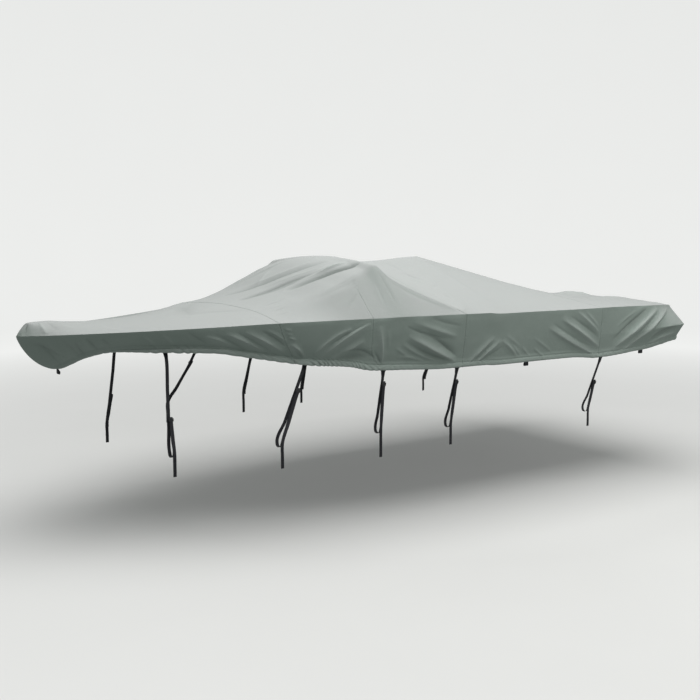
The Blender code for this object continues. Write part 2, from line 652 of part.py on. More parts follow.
def nose_loop(name):
    """Hangs under the cloth where it is tucked beneath the nose."""
    hem = surface(0.0, 2.0)
    sewn = SEAT_GAP * 4
    top = np.array([NOSE_LOOP_BACK, 0.0, hem[2] - SEAT_GAP - sewn])
    return loop_strip(name, top, -AFT, FAR, sewn)


def add(name, mesh, colour, roughness):
    """Puts a mesh in the scene with a material of its own."""
    material = bpy.data.materials.new(name + "_finish")
    material.use_nodes = True
    shader = material.node_tree.nodes["Principled BSDF"]
    shader.inputs["Base Color"].default_value = (*colour, 1.0)
    shader.inputs["Roughness"].default_value = roughness
    shader.inputs["Metallic"].default_value = 0.0
    mesh.materials.append(material)
    mesh.shade_smooth()
    mesh.set_sharp_from_angle(angle=SHARP_ANGLE)
    piece = bpy.data.objects.new(name, mesh)
    bpy.context.scene.collection.objects.link(piece)


def build_panels():
    ends = (0.0,) + SEAM_STATIONS + (TAIL_STATION,)
    for name, start, end in zip(PANEL_NAMES, ends[:-1], ends[1:]):
        add(name, panel(name, start, end), CLOTH_COLOUR, 0.92)


def build_webbing():
    for label, side in SIDES:
        for number, tie in enumerate(TIES, start=1):
            strap, plate = f"tie_{label}_{number}", f"buckle_{label}_{number}"
            add(strap, tie_strap(strap, tie, side), WEB_COLOUR, 0.75)
            add(plate, buckle_plate(plate, tie, side), BUCKLE_COLOUR, 0.45)
        for number, station in enumerate(LOOP_STATIONS, start=1):
            loop = f"loop_{label}_{number}"
            mesh = hem_loop(loop, side_hem(station, side), FAR * side, AFT)
            add(loop, mesh, WEB_COLOUR, 0.75)
        corner = f"loop_{label}_corner"
        add(corner, hem_loop(corner, tail_hem(side), AFT, FAR), WEB_COLOUR, 0.75)
    add("loop_nose", nose_loop("loop_nose"), WEB_COLOUR, 0.75)


def main():
    for old in list(bpy.data.objects):
        bpy.data.objects.remove(old, do_unlink=True)
    build_panels()
    build_webbing()


if __name__ == "__main__":
    main()
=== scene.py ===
"""Looks of the fitted cloth cover: its cloth with folds, gathers, seams and stitches, and
its webbing ties, loops and buckles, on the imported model.

Stations run aft from the nose tip and heights are above the ground, in metres, as in the
model's own source; to_origin() takes them to the model's frame.
"""
from collections import namedtuple
from math import pi, radians

import bmesh
import bpy
import numpy as np
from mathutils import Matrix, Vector


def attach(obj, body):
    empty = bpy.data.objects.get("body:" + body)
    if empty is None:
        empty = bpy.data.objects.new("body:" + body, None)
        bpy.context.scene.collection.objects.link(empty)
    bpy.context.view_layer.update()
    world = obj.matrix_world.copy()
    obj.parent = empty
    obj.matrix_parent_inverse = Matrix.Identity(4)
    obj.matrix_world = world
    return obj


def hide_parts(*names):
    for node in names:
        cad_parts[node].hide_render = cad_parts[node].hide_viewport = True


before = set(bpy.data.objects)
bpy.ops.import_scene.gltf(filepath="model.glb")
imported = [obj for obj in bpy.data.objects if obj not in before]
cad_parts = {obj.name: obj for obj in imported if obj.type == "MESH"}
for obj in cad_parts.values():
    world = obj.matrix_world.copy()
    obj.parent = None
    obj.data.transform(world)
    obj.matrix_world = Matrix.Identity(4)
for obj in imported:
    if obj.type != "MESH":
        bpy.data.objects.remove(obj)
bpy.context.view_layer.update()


def table_of(kind, *rows):
    """A table, with each row as a named tuple of one kind."""
    return tuple(kind(*row) for row in rows)


# ---- view, in the model's frame ----
CAMERA_PLACE = (-5.015, -6.424, 0.175)
CAMERA_TURN = (83.15, 0.0, -34.0)     # degrees
CAMERA_LENS = 48.86                   # mm, on a 36 mm sensor
GROUND = -1.8705                      # height of the floor

# ---- driving dimensions, metres ----
CLOTH = 0.002            # thickness of every cloth panel
PEAK_STATION = 3.35      # the tent peak, where the cover is held up
PEAK_UNDERSIDE = 1.8705   # height of the cloth's lower face there
TAIL_STATION = 5.36      # where the top turns down at the tail
SEAM_STATIONS = (1.50, 2.95, 4.42)   # where the cross seams meet the rims
PULL_STATION = 2.95      # this seam bends forward on top, towards the dome's rear edge
PULL = 0.20
PULL_START, PULL_END = 2.42, 3.30
PULL_OUT = 0.80          # share of the half width inside which it is pulled fully
HEM_BAND = 0.84          # share of the skirt's depth at which the hem band starts
HEM_PUFF = 0.006         # how far the gathered band stands out
HANG_CURVE = 1.3         # how far from straight the skirt hangs: 1 is straight
TAIL_ROUND = 0.22        # length over which the skirt turns round a rear corner
FLARE_AT = 0.54          # share of the skirt's depth at which it stands out furthest
TAIL_FULLER = 0.25       # how much further aft the tail hangs at its middle

WEB_WIDTH = 0.025        # tie-down webbing
WEB_THICK = 0.0016
SEAT_GAP = 0.0005        # between webbing and the cloth it is sewn to
SEWN_UP = 0.030          # how far webbing reaches up behind the hem
TIE_TOP_WIDTH = 0.050    # a tie starts as a folded triangle, this wide at the hem
TIE_STRAIGHT = 0.016     # it stays in line with the cloth this far below the hem
TIE_TAPER = 0.050        # and reaches its own width this far below
STRAND_SPREAD = 0.007    # sideways half distance between a tie's two strands
STRAND_DEPTH = 0.006     # distance between webbing layers, front to back
FOOT_RADIUS = 0.020      # of the turn round whatever the tie is hooked under
FOLD_RADIUS = 0.003      # of the fold through the buckle
BUCKLE_WIDE, BUCKLE_THICK, BUCKLE_LONG = 0.034, 0.004, 0.022
BUCKLE_DOWN = 0.016      # from the fold to the middle of the buckle plate
LOOP_WIDTH = 0.042       # empty webbing loops at the hem
LOOP_DROP = 0.034
LOOP_GAP = 0.010         # inside the loop, front to back
LOOP_NECK = 0.014        # length over which its two layers part
LOOP_SEWN = 0.020        # how far its ends reach up behind the hem
NOSE_LOOP_BACK = 0.266   # where the nose loop hangs, aft of the nose tip
CORNER_LOOP_OUT = 0.90   # share of the tail's half width where a corner loop hangs

# One row for each cross section. half_width, rim: the crease where the top turns into
# the skirt. crest: height on the centre line. knee_out, knee_up: where the section
# bends most, as shares of the half width and of the rise from rim to crest.
# crest_round, knee_round: how softly it bends there, as shares of the half width.
Section = namedtuple(
    "Section",
    "station half_width rim crest knee_out knee_up crest_round knee_round",
)
SECTIONS = table_of(
    Section,
    (0.00, 0.000, 1.384, 1.384, 0.60, 0.62, 1.00, 0.30),
    (0.03, 0.060, 1.388, 1.425, 0.60, 0.62, 1.00, 0.30),
    (0.08, 0.130, 1.393, 1.470, 0.60, 0.62, 1.00, 0.30),
    (0.20, 0.250, 1.401, 1.478, 0.60, 0.62, 1.00, 0.30),
    (0.35, 0.355, 1.409, 1.466, 0.60, 0.62, 1.00, 0.30),
    (0.55, 0.455, 1.416, 1.455, 0.60, 0.62, 1.00, 0.30),
    (0.80, 0.560, 1.425, 1.458, 0.62, 0.63, 1.00, 0.30),
    (1.10, 0.700, 1.439, 1.480, 0.65, 0.64, 1.00, 0.30),
    (1.50, 0.880, 1.460, 1.540, 0.70, 0.66, 1.00, 0.28),
    (1.80, 0.960, 1.466, 1.635, 0.74, 0.70, 0.70, 0.20),
    (2.05, 1.015, 1.470, 1.768, 0.76, 0.70, 0.60, 0.15),
    (2.20, 1.040, 1.471, 1.842, 0.72, 0.76, 0.60, 0.10),
    (2.30, 1.055, 1.472, 1.874, 0.70, 0.80, 0.60, 0.06),
    (2.38, 1.066, 1.473, 1.887, 0.70, 0.88, 0.80, 0.05),
    (2.47, 1.080, 1.474, 1.885, 0.765, 0.64, 0.30, 0.05),
    (2.60, 1.098, 1.474, 1.858, 0.823, 0.46, 0.12, 0.03),
    (2.77, 1.113, 1.474, 1.838, 0.903, 0.25, 0.05, 0.03),
    (2.95, 1.120, 1.473, 1.845, 0.955, 0.08, 0.03, 0.03),
    (3.30, 1.120, 1.470, 1.874, 0.500, 0.50, 0.02, 0.03),
    (3.35, 1.120, 1.469, 1.876, 0.500, 0.50, 0.02, 0.03),
    (3.40, 1.120, 1.469, 1.865, 0.500, 0.50, 0.02, 0.03),
    (4.10, 1.120, 1.463, 1.694, 0.500, 0.50, 0.02, 0.03),
    (4.70, 1.112, 1.457, 1.546, 0.520, 0.50, 0.03, 0.05),
    (4.88, 1.105, 1.454, 1.502, 0.600, 0.56, 0.10, 0.10),
    (5.10, 1.088, 1.450, 1.496, 0.650, 0.64, 0.30, 0.20),
    (5.36, 1.050, 1.442, 1.480, 0.700, 0.68, 0.40, 0.20),
)

# How the skirt hangs from the rim. drop: down to the hem. back: how far aft of its rim
# point the hem lies. hem_half: half width at the hem. flare: how far the skirt stands
# out half way down. under: 1 where it curls under like a quarter circle, 0 where it
# hangs straight.
Hang = namedtuple("Hang", "station drop back hem_half flare under")
HANGS = table_of(
    Hang,
    (0.00, 0.238, 0.270, 0.000, 0.000, 1.0),
    (0.03, 0.234, 0.262, 0.016, 0.000, 1.0),
    (0.10, 0.212, 0.235, 0.070, 0.000, 0.9),
    (0.25, 0.165, 0.175, 0.170, 0.003, 0.6),
    (0.45, 0.135, 0.110, 0.290, 0.005, 0.2),
    (0.70, 0.144, 0.060, 0.420, 0.005, 0.0),
    (1.12, 0.176, 0.050, 0.635, 0.004, 0.0),
    (1.25, 0.213, 0.100, 0.715, 0.004, 0.0),
    (1.40, 0.256, 0.135, 0.778, 0.004, 0.0),
    (1.50, 0.283, 0.160, 0.815, 0.004, 0.0),
    (1.62, 0.303, 0.150, 0.850, 0.004, 0.0),
    (1.80, 0.318, 0.110, 0.890, 0.004, 0.0),
    (2.00, 0.338, 0.050, 0.930, 0.004, 0.0),
    (2.20, 0.371, 0.005, 0.972, 0.004, 0.0),
    (2.90, 0.400, 0.000, 1.060, 0.003, 0.0),
    (3.60, 0.396, 0.000, 1.070, 0.003, 0.0),
    (4.10, 0.394, 0.000, 1.075, 0.004, 0.0),
    (4.42, 0.416, 0.000, 1.075, 0.008, 0.0),
    (4.95, 0.382, 0.000, 1.080, 0.045, 0.0),
    (5.36, 0.312, 0.035, 1.085, 0.115, 0.0),
)

# Main folds of the top. x, y: where the fold starts and ends. wide: its half width at
# the start and at the end. rise: its height, negative for a trough. both: 1 if the other
# side has it too.
TopFold = namedtuple("TopFold", "x0 y0 x1 y1 wide0 wide1 rise both")
TOP_FOLDS = table_of(
    TopFold,
    (1.85, -0.36, 2.35, -0.58, 0.026, 0.034, -0.018, 0),
    (1.95, -0.31, 2.32, -0.45, 0.030, 0.032, 0.010, 0),
    (1.60, -0.07, 2.20, -0.44, 0.034, 0.036, -0.010, 0),
    (1.67, 0.30, 2.28, -0.29, 0.034, 0.036, -0.007, 0),
    (1.90, 0.56, 2.24, 0.31, 0.032, 0.034, -0.007, 0),
    (1.84, 0.60, 2.35, 0.64, 0.034, 0.038, -0.010, 0),
    (1.88, 0.74, 2.24, 0.78, 0.026, 0.026, -0.004, 1),
    (2.31, 0.84, 2.33, 1.03, 0.020, 0.026, 0.005, 1),
    (2.46, 0.78, 2.94, 1.09, 0.028, 0.026, 0.008, 1),
    (2.44, 0.83, 2.91, 1.12, 0.024, 0.024, -0.009, 1),
    (0.08, 0.02, 0.16, 0.20, 0.026, 0.030, 0.005, 1),
    (4.95, 0.00, 5.36, 0.00, 0.080, 0.120, 0.026, 0),
    (5.05, -0.50, 5.36, -0.50, 0.080, 0.100, 0.012, 0),
    (5.15, 0.93, 5.36, 0.93, 0.050, 0.060, 0.008, 1),
)

# Main folds of the skirt. down: metres below the rim at the start and the end.
SkirtFold = namedtuple("SkirtFold", "x0 down0 x1 down1 wide rise")
SKIRT_FOLDS = table_of(
    SkirtFold,
    (1.05, 0.060, 1.23, 0.155, 0.026, 0.006),
    (1.18, 0.048, 1.43, 0.190, 0.026, 0.008),
    (1.29, 0.043, 1.56, 0.208, 0.026, 0.008),
    (1.58, 0.140, 1.67, 0.228, 0.026, 0.008),
    (1.76, 0.245, 2.01, 0.064, 0.026, 0.007),
    (1.80, 0.272, 2.15, 0.032, 0.028, 0.010),
    (1.88, 0.280, 2.12, 0.150, 0.028, 0.007),
    (1.92, 0.262, 2.19, 0.268, 0.026, -0.008),
    (2.23, 0.050, 2.26, 0.340, 0.028, 0.008),
    (2.45, 0.138, 2.89, 0.355, 0.032, 0.013),
    (2.60, 0.120, 2.90, 0.300, 0.026, -0.006),
    (2.49, 0.042, 2.88, 0.167, 0.028, 0.005),
    (3.01, 0.370, 3.25, 0.184, 0.026, 0.006),
    (3.09, 0.375, 3.32, 0.205, 0.026, 0.006),
    (3.32, 0.208, 3.52, 0.350, 0.026, 0.005),
    (3.81, 0.130, 4.39, 0.395, 0.030, 0.010),
    (3.95, 0.065, 4.42, 0.330, 0.030, 0.011),
    (4.12, 0.017, 4.40, 0.209, 0.026, 0.006),
    (4.57, 0.290, 5.01, 0.021, 0.028, -0.006),
    (4.57, 0.370, 5.16, 0.025, 0.030, 0.012),
    (4.69, 0.392, 5.30, 0.022, 0.028, 0.011),
    (5.03, 0.296, 5.33, 0.180, 0.026, -0.010),
    (5.02, 0.335, 5.36, 0.242, 0.026, 0.007),
)

# Tie-downs, one row each, for each side. station: along the rim, at the hem. foot_x,
# foot_y: where the strap turns back up, foot_up: how high. join: share of the way
# down at which the buckle sits. tail: how far the free end hangs below the foot.
# clear: how much further in than its gap it's set, as the cloth bends over its width.
Tie = namedtuple("Tie", "station foot_x foot_y foot_up join tail clear")
TIES = table_of(
    Tie,
    (0.80, 0.82, 0.60, 0.60, 0.65, 0.150, 0.0016),
    (1.575, 1.46, 0.92, 0.65, 0.32, 0.165, 0.0010),
    (2.29, 2.22, 1.00, 0.67, 0.20, 0.190, 0.0001),
    (2.92, 2.84, 1.03, 0.65, 0.22, 0.150, 0.0001),
    (4.47, 4.30, 1.05, 0.62, 0.45, 0.140, 0.0),
)
LOOP_STATIONS = (3.62, 4.97)

SIDES = (("near", -1), ("far", 1))
AFT = np.array([1.0, 0.0, 0.0])
FAR = np.array([0.0, 1.0, 0.0])
UP = np.array([0.0, 0.0, 1.0])

# ---- the sheet as it shows ----
ROW_STEP = 0.0070        # from one row of points to the next
CLOSE_STEP = 0.0040      # the same beside seams
CLOSE_REACH = 0.026
TOP_STEPS = 124          # columns of points from crest to rim
RIM_STEPS = 4            # more on each side of the rim, close together
RIM_SHARE = 0.012        # within this share of the half width
SKIRT_STEPS = 42
BAND_STEPS = 17          # more in the lowest part of the skirt, where the gathers are
BAND_SHARE = 0.15
CASING = 0.038           # depth of the hem's casing
CASING_CREST = 0.28      # how far up the casing it stands out most, as a share
CASING_VALLEY = 0.0020   # at the stitches along its upper edge
FLAT_REACH = 0.040       # how far from a tie or a loop the hem lies flat
LATTICE = 256            # points each way in a table of random waves
DART_ROWS = (2.165, 2.195, 2.26)   # rows lie close together beside these stations too
TIP_ROWS = (0.0015, 0.0035)        # two rows more, just behind the nose tip
STRETCH_STEP = 0.002     # half the step over which the cloth is measured
LAP_START, LAP_SINK = 0.001, 0.0014   # first row of the lap under the next panel
LAP_DEEP = 0.0018        # how deep its last row lies
# Rows of the hem's turned edge: how deep behind the face, and how far up.
HEM_TURN = ((0.0006, -0.0005), (0.0014, -0.0004), (0.0018, 0.0010), (0.0019, 0.0120))

# Fine creases beside the main folds. On top, y is metres to the far side; the far side
# also has, more faintly, those that lie wholly on the near side. On the skirt, y is metres
# below the rim, and both sides have them all. bow: how far the middle bends. lean: up to 1
# for one steep flank. peak: where along it the crease is strongest. A row may leave out
# the last two, or the last: both flanks are then alike, and it is strongest half way.
Crease = namedtuple(
    "Crease", "x0 y0 x1 y1 bow wide rise lean peak", defaults=(0.0, 0.50)
)
TOP_CREASES = table_of(
    Crease,
    (0.66, 0.460, 1.24, 0.740, 0.000, 0.085, -0.0260),
    (1.34, 0.640, 1.66, 0.760, 0.000, 0.075, 0.0150),
    (0.07, -0.005, 0.03, -0.060, -0.006, 0.014, -0.0120, -0.3),
    (0.14, -0.037, 0.15, -0.192, 0.006, 0.016, 0.0100, 0.5),
    (0.19, -0.030, 0.22, -0.200, 0.006, 0.014, -0.0040),
    (0.25, -0.072, 0.35, -0.236, 0.019, 0.014, 0.0030),
    (0.51, -0.123, 0.63, -0.412, 0.046, 0.014, 0.0025),
    (0.95, -0.050, 1.30, -0.420, -0.010, 0.040, 0.0040),
    (1.20, -0.100, 1.50, -0.480, -0.010, 0.036, -0.0040),
    (1.36, 0.455, 1.15, -0.245, 0.000, 0.060, -0.0070),
    (1.40, -0.649, 1.48, -0.626, 0.000, 0.010, 0.0030),
    (1.40, 0.090, 1.57, -0.039, 0.030, 0.014, 0.0040),
    (1.56, -0.736, 1.65, -0.745, 0.000, 0.008, -0.0030),
    (1.58, -0.649, 1.68, -0.655, 0.000, 0.009, -0.0030),
    (1.59, -0.470, 1.77, -0.505, 0.001, 0.011, -0.0040, -0.2),
    (1.59, -0.567, 1.71, -0.593, 0.000, 0.009, 0.0030),
    (1.60, -0.065, 2.17, -0.435, -0.045, 0.020, -0.0170, -0.4, 0.45),
    (1.67, 0.299, 2.26, -0.288, 0.013, 0.020, -0.0150, -0.4),
    (1.79, 0.313, 2.24, -0.160, 0.040, 0.018, 0.0080, 0.4),
    (1.84, -0.032, 2.18, -0.344, 0.015, 0.016, 0.0080, 0.4),
    (1.83, -0.362, 2.37, -0.590, -0.010, 0.020, -0.0260, -0.5, 0.75),
    (1.94, -0.718, 2.23, -0.733, 0.006, 0.007, -0.0045, -0.2, 0.65),
    (1.95, 0.567, 2.24, 0.319, -0.028, 0.014, -0.0070, -0.3),
    (1.94, -0.310, 2.33, -0.470, 0.024, 0.015, 0.0210, 0.8, 0.70),
    (2.00, -0.932, 2.15, -0.858, 0.005, 0.010, -0.0040, 0.0, 0.60),
    (2.13, -0.793, 2.19, -0.786, 0.000, 0.006, -0.0040, 0.0, 0.60),
    (2.13, -0.817, 2.19, -0.808, 0.000, 0.006, -0.0035, 0.0, 0.60),
    (2.15, -0.761, 2.20, -0.765, 0.000, 0.006, -0.0035, 0.0, 0.60),
    (2.33, -0.836, 2.32, -0.997, 0.006, 0.012, -0.0040),
    (2.38, -0.792, 2.40, -1.002, -0.005, 0.010, -0.0060, 0.0, 0.35),
    (2.41, -0.868, 2.41, -1.009, 0.006, 0.012, -0.0030),
    (2.42, -0.806, 2.91, -1.114, -0.025, 0.016, -0.0120, -0.7, 0.45),
    (2.44, -0.770, 2.95, -1.085, -0.020, 0.014, 0.0060, 0.6, 0.45),
    (2.52, -0.700, 2.90, -0.930, -0.010, 0.014, 0.0020, 0.0, 0.45),
    (2.93, -0.078, 2.98, -0.289, -0.031, 0.010, -0.0040),
    (2.96, -0.460, 3.02, -0.567, 0.000, 0.010, 0.0050),
    (2.98, -0.289, 3.06, -0.486, 0.034, 0.010, -0.0060, -0.2),
    (3.01, -0.617, 3.12, -0.593, 0.000, 0.008, -0.0040),
    (3.03, -0.762, 3.02, -0.869, 0.000, 0.009, -0.0030),
    (4.62, -0.020, 4.95, -0.450, -0.020, 0.030, -0.0070, -0.4, 0.40),
    (4.80, -0.020, 5.20, -0.360, -0.020, 0.034, 0.0080),
    (4.90, -0.900, 5.34, -0.800, -0.010, 0.026, 0.0050, -0.3, 0.60),
    (4.95, -0.350, 5.34, -0.620, -0.010, 0.032, -0.0060, 0.0, 0.55),
)
SKIRT_CREASES = table_of(
    Crease,
    (0.05, 0.037, 0.30, 0.182, 0.009, 0.008, -0.0072, 0.3),
    (0.10, 0.040, 0.27, 0.219, 0.000, 0.008, -0.0072, 0.3),
    (0.14, 0.029, 0.29, 0.192, 0.000, 0.009, 0.0054, 0.3),
    (0.22, 0.031, 0.39, 0.181, 0.000, 0.009, -0.0054, 0.2),
    (0.29, 0.039, 0.40, 0.159, -0.006, 0.008, -0.0090, 0.3, 0.55),
    (0.32, 0.023, 0.42, 0.123, 0.000, 0.008, 0.0054),
    (0.35, 0.025, 0.46, 0.125, 0.000, 0.008, -0.0090, 0.3),
    (0.44, 0.030, 0.52, 0.095, 0.000, 0.008, -0.0072, 0.2),
    (0.69, 0.033, 0.78, 0.103, 0.000, 0.006, 0.0072, 0.2),
    (0.79, 0.022, 0.90, 0.114, 0.000, 0.008, 0.0054, 0.2),
    (0.95, 0.026, 1.08, 0.111, 0.000, 0.010, -0.0072, 0.2),
    (1.06, 0.061, 1.24, 0.153, 0.016, 0.009, 0.0089, -0.3),
    (1.11, 0.043, 1.32, 0.170, 0.001, 0.009, -0.0078, 0.3, 0.55),
    (1.18, 0.048, 1.44, 0.188, 0.006, 0.010, 0.0112, -0.4),
    (1.24, 0.042, 1.47, 0.187, 0.001, 0.008, -0.0093, 0.3, 0.55),
    (1.29, 0.043, 1.57, 0.208, 0.006, 0.010, 0.0112, -0.4, 0.55),
    (1.39, 0.044, 1.57, 0.166, 0.006, 0.008, -0.0093, 0.3),
    (1.43, 0.046, 1.57, 0.138, 0.007, 0.008, 0.0066, -0.3),
    (1.54, 0.042, 1.59, 0.056, 0.000, 0.006, 0.0053),
    (1.55, 0.071, 1.60, 0.087, 0.000, 0.006, 0.0041),
    (1.57, 0.098, 1.63, 0.124, 0.000, 0.006, 0.0078, -0.2),
    (1.60, 0.153, 1.71, 0.253, 0.010, 0.007, 0.0121, -0.4),
    (1.63, 0.197, 1.70, 0.256, 0.000, 0.007, -0.0078),
    (1.77, 0.239, 2.01, 0.065, 0.025, 0.009, 0.0112, -0.6, 0.45),
    (1.81, 0.215, 2.15, 0.022, 0.016, 0.008, -0.0093, 0.5),
    (1.81, 0.270, 2.15, 0.032, 0.021, 0.010, 0.0121, -0.4),
    (1.89, 0.278, 2.11, 0.155, -0.005, 0.011, 0.0101, -0.3, 0.45),
    (1.91, 0.271, 2.22, 0.299, 0.066, 0.009, -0.0121, 0.3),
    (1.96, 0.097, 2.08, 0.060, 0.000, 0.010, 0.0041),
    (2.19, 0.224, 2.26, 0.333, 0.000, 0.007, -0.0101, 0.0, 0.65),
    (2.23, 0.061, 2.27, 0.330, 0.000, 0.010, 0.0112, 0.6, 0.55),
    (2.29, 0.086, 2.31, 0.231, 0.000, 0.013, 0.0041),
    (2.36, 0.219, 2.47, 0.293, 0.000, 0.008, 0.0053, -0.2),
    (2.38, 0.288, 2.61, 0.335, 0.009, 0.007, 0.0066, -0.2),
    (2.41, 0.194, 2.77, 0.347, -0.021, 0.009, 0.0093, -0.2),
    (2.43, 0.173, 2.87, 0.354, -0.021, 0.010, -0.0134, 0.2, 0.60),
    (2.44, 0.072, 2.83, 0.176, -0.018, 0.007, -0.0078, 0.3, 0.40),
    (2.45, 0.138, 2.88, 0.352, -0.007, 0.013, 0.0167, -0.4, 0.60),
    (2.49, 0.042, 2.88, 0.167, -0.004, 0.013, 0.0078, -0.2, 0.60),
    (2.61, 0.130, 2.91, 0.328, 0.009, 0.008, -0.0101, 0.3, 0.60),
    (2.63, 0.015, 2.92, 0.087, -0.008, 0.010, -0.0053, 0.2),
    (3.02, 0.368, 3.25, 0.184, 0.002, 0.007, 0.0101, -0.5, 0.45),
    (3.06, 0.368, 3.26, 0.214, 0.002, 0.007, -0.0078, 0.2, 0.45),
    (3.09, 0.373, 3.31, 0.212, 0.000, 0.007, 0.0112, -0.5, 0.45),
    (3.12, 0.371, 3.35, 0.251, 0.000, 0.007, -0.0078, 0.2, 0.45),
    (3.32, 0.208, 3.50, 0.349, 0.009, 0.007, 0.0078, -0.3),
    (3.36, 0.166, 3.53, 0.273, 0.000, 0.010, 0.0041),
    (3.44, 0.251, 3.54, 0.341, 0.000, 0.007, 0.0066, -0.2),
    (3.54, 0.273, 3.65, 0.364, 0.000, 0.007, 0.0066, -0.2),
    (3.66, 0.208, 3.88, 0.334, 0.000, 0.008, 0.0053, -0.2),
    (3.67, 0.288, 3.79, 0.369, 0.000, 0.007, 0.0066, -0.2),
    (3.81, 0.136, 4.39, 0.393, -0.012, 0.011, 0.0118, -0.5),
    (3.85, 0.103, 4.31, 0.320, -0.003, 0.010, -0.0082, 0.2),
    (3.95, 0.071, 4.42, 0.328, 0.001, 0.011, 0.0128, -0.5),
    (4.05, 0.054, 4.40, 0.250, 0.008, 0.010, -0.0082, 0.2),
    (4.12, 0.017, 4.40, 0.209, 0.004, 0.009, 0.0078, -0.3),
    (4.22, 0.021, 4.39, 0.163, 0.002, 0.008, 0.0082, -0.3),
    (4.57, 0.285, 5.01, 0.021, 0.018, 0.011, -0.0089, 0.2),
    (4.58, 0.363, 5.14, 0.030, 0.011, 0.011, 0.0147, -0.4, 0.55),
    (4.61, 0.169, 4.86, 0.039, 0.011, 0.008, 0.0058, -0.2),
    (4.69, 0.334, 5.16, 0.046, 0.005, 0.009, -0.0106, 0.2, 0.55),
    (4.70, 0.388, 5.29, 0.027, 0.002, 0.011, 0.0117, -0.5),
    (4.83, 0.355, 5.29, 0.053, 0.019, 0.009, -0.0076, 0.2),
    (4.97, 0.331, 5.12, 0.194, -0.003, 0.007, 0.0067, -0.4),
    (5.02, 0.333, 5.36, 0.242, 0.012, 0.010, 0.0084, -0.3, 0.60),
    (5.03, 0.289, 5.30, 0.189, 0.013, 0.010, -0.0109, 0.3, 0.60),
)
FAR_SHARE = 0.85         # strength of the far side's creases
FAR_MOST = 0.0095        # a crease of the top that is deeper isn't on the far side too
FAR_SHIFT = 0.030        # how far they lie from where the near side has them
FAR_SWING = 4.1          # how quickly that changes along the cover
CREASE_CURVE = 1.1       # how crisp creases are: 2 is soft
CREASE_REACH = 5.0       # widths beyond which a crease has faded out

# Gathers of the hem, by station. deep: their height at the hem. puff: how far the casing
# stands out. pitch: from one to the next. slant: how far aft they run for each metre
# down. reach: how far up they fade out.
Gather = namedtuple("Gather", "station deep puff pitch slant reach")
GATHERS = table_of(
    Gather,
    (0.00, 0.0012, 0.010, 0.050, 1.2, 0.012),
    (0.40, 0.0022, 0.016, 0.055, 1.4, 0.014),
    (0.75, 0.0055, 0.025, 0.060, 1.6, 0.016),
    (1.10, 0.0070, 0.028, 0.064, 1.6, 0.018),
    (1.60, 0.0070, 0.027, 0.058, 1.6, 0.018),
    (1.85, 0.0060, 0.023, 0.044, 1.6, 0.016),
    (2.25, 0.0042, 0.020, 0.044, 1.4, 0.014),
    (2.42, 0.0016, 0.017, 0.052, 0.8, 0.012),
    (3.40, 0.0009, 0.015, 0.060, 0.8, 0.012),
    (4.40, 0.0012, 0.015, 0.062, 0.8, 0.012),
    (5.36, 0.0012, 0.012, 0.060, 0.8, 0.012),
)

# The dart in the second panel: where its stitched line runs, by v as surface() has it.
Dart = namedtuple("Dart", "v station")
DART = table_of(
    Dart,
    (0.780, 2.170),
    (1.000, 2.165),
    (1.600, 2.170),
    (1.780, 2.195),
    (2.000, 2.280),
)
DART_FADE = 0.05         # share of the half width over which its top end fades out

SEAM_STRIP = 0.012       # width of a seam's overlap
SEAM_RISE = 0.0010
SEAM_GROOVE = 0.0016
PUCKER_PITCH = 0.021     # of the small puckers across a seam
PUCKER_DEEP = 0.0013
PUCKER_REACH = 0.030
STITCH_PITCH = 0.0060
STITCH_LONG = 0.0042
STITCH_THICK = 0.0011
SEAM_ROWS = (0.0030, 0.0095)   # the two rows of stitches of a lapped seam, aft of it
SEAM_END = 1.99          # where a seam's stitches end, by v as surface() has it
CASING_FROM = 0.06       # where the hem's stitches start, aft of the nose tip
SEAM_POINTS, DART_POINTS, CASING_POINTS = 4000, 800, 8000   # to measure each line
WEB_STEP = 0.004         # from one ring of points to the next along webbing
WEB_RIB_PITCH, WEB_PICK_PITCH = 0.0022, 0.0016
BUCKLE_RAIL = 0.004      # width of a buckle's rails and bars
BUCKLE_EDGE = 0.0006

# How loosely the cloth lies: the height of its broad uneven waves.
Slack = namedtuple("Slack", "station top skirt")
SLACK = table_of(
    Slack,
    (0.00, 0.0012, 0.0018),
    (1.50, 0.0010, 0.0026),
    (2.40, 0.0008, 0.0028),
    (2.95, 0.0006, 0.0024),
    (3.40, 0.0005, 0.0018),
    (4.40, 0.0008, 0.0028),
    (4.95, 0.0034, 0.0036),
    (5.36, 0.0030, 0.0040),
)

# Creases of the cloth that hangs behind. x: metres across, y: metres down.
TAIL_CREASES = table_of(
    Crease,
    (-0.98, 0.02, -0.62, 0.30, 0.020, 0.022, 0.008, 0.4),
    (-0.90, 0.02, -0.35, 0.27, 0.020, 0.024, 0.006, 0.3),
    (-0.70, 0.10, -0.20, 0.30, 0.010, 0.024, -0.006),
    (0.98, 0.02, 0.60, 0.30, -0.020, 0.022, 0.008, -0.4),
    (0.88, 0.02, 0.38, 0.26, -0.020, 0.024, 0.006, -0.3),
    (0.66, 0.12, 0.15, 0.30, -0.010, 0.024, -0.006),
)

# What each panel was cut from: its size along and across the cover, and its flat area.
Cut = namedtuple("Cut", "node wide long area")
CUTS = table_of(
    Cut,
    ("nose_panel", 1.56, 2.60, 2.42),
    ("dome_panel", 1.52, 3.30, 4.06),
    ("peak_panel", 1.78, 3.36, 5.07),
    ("tail_panel", 1.40, 3.30, 3.76),
)

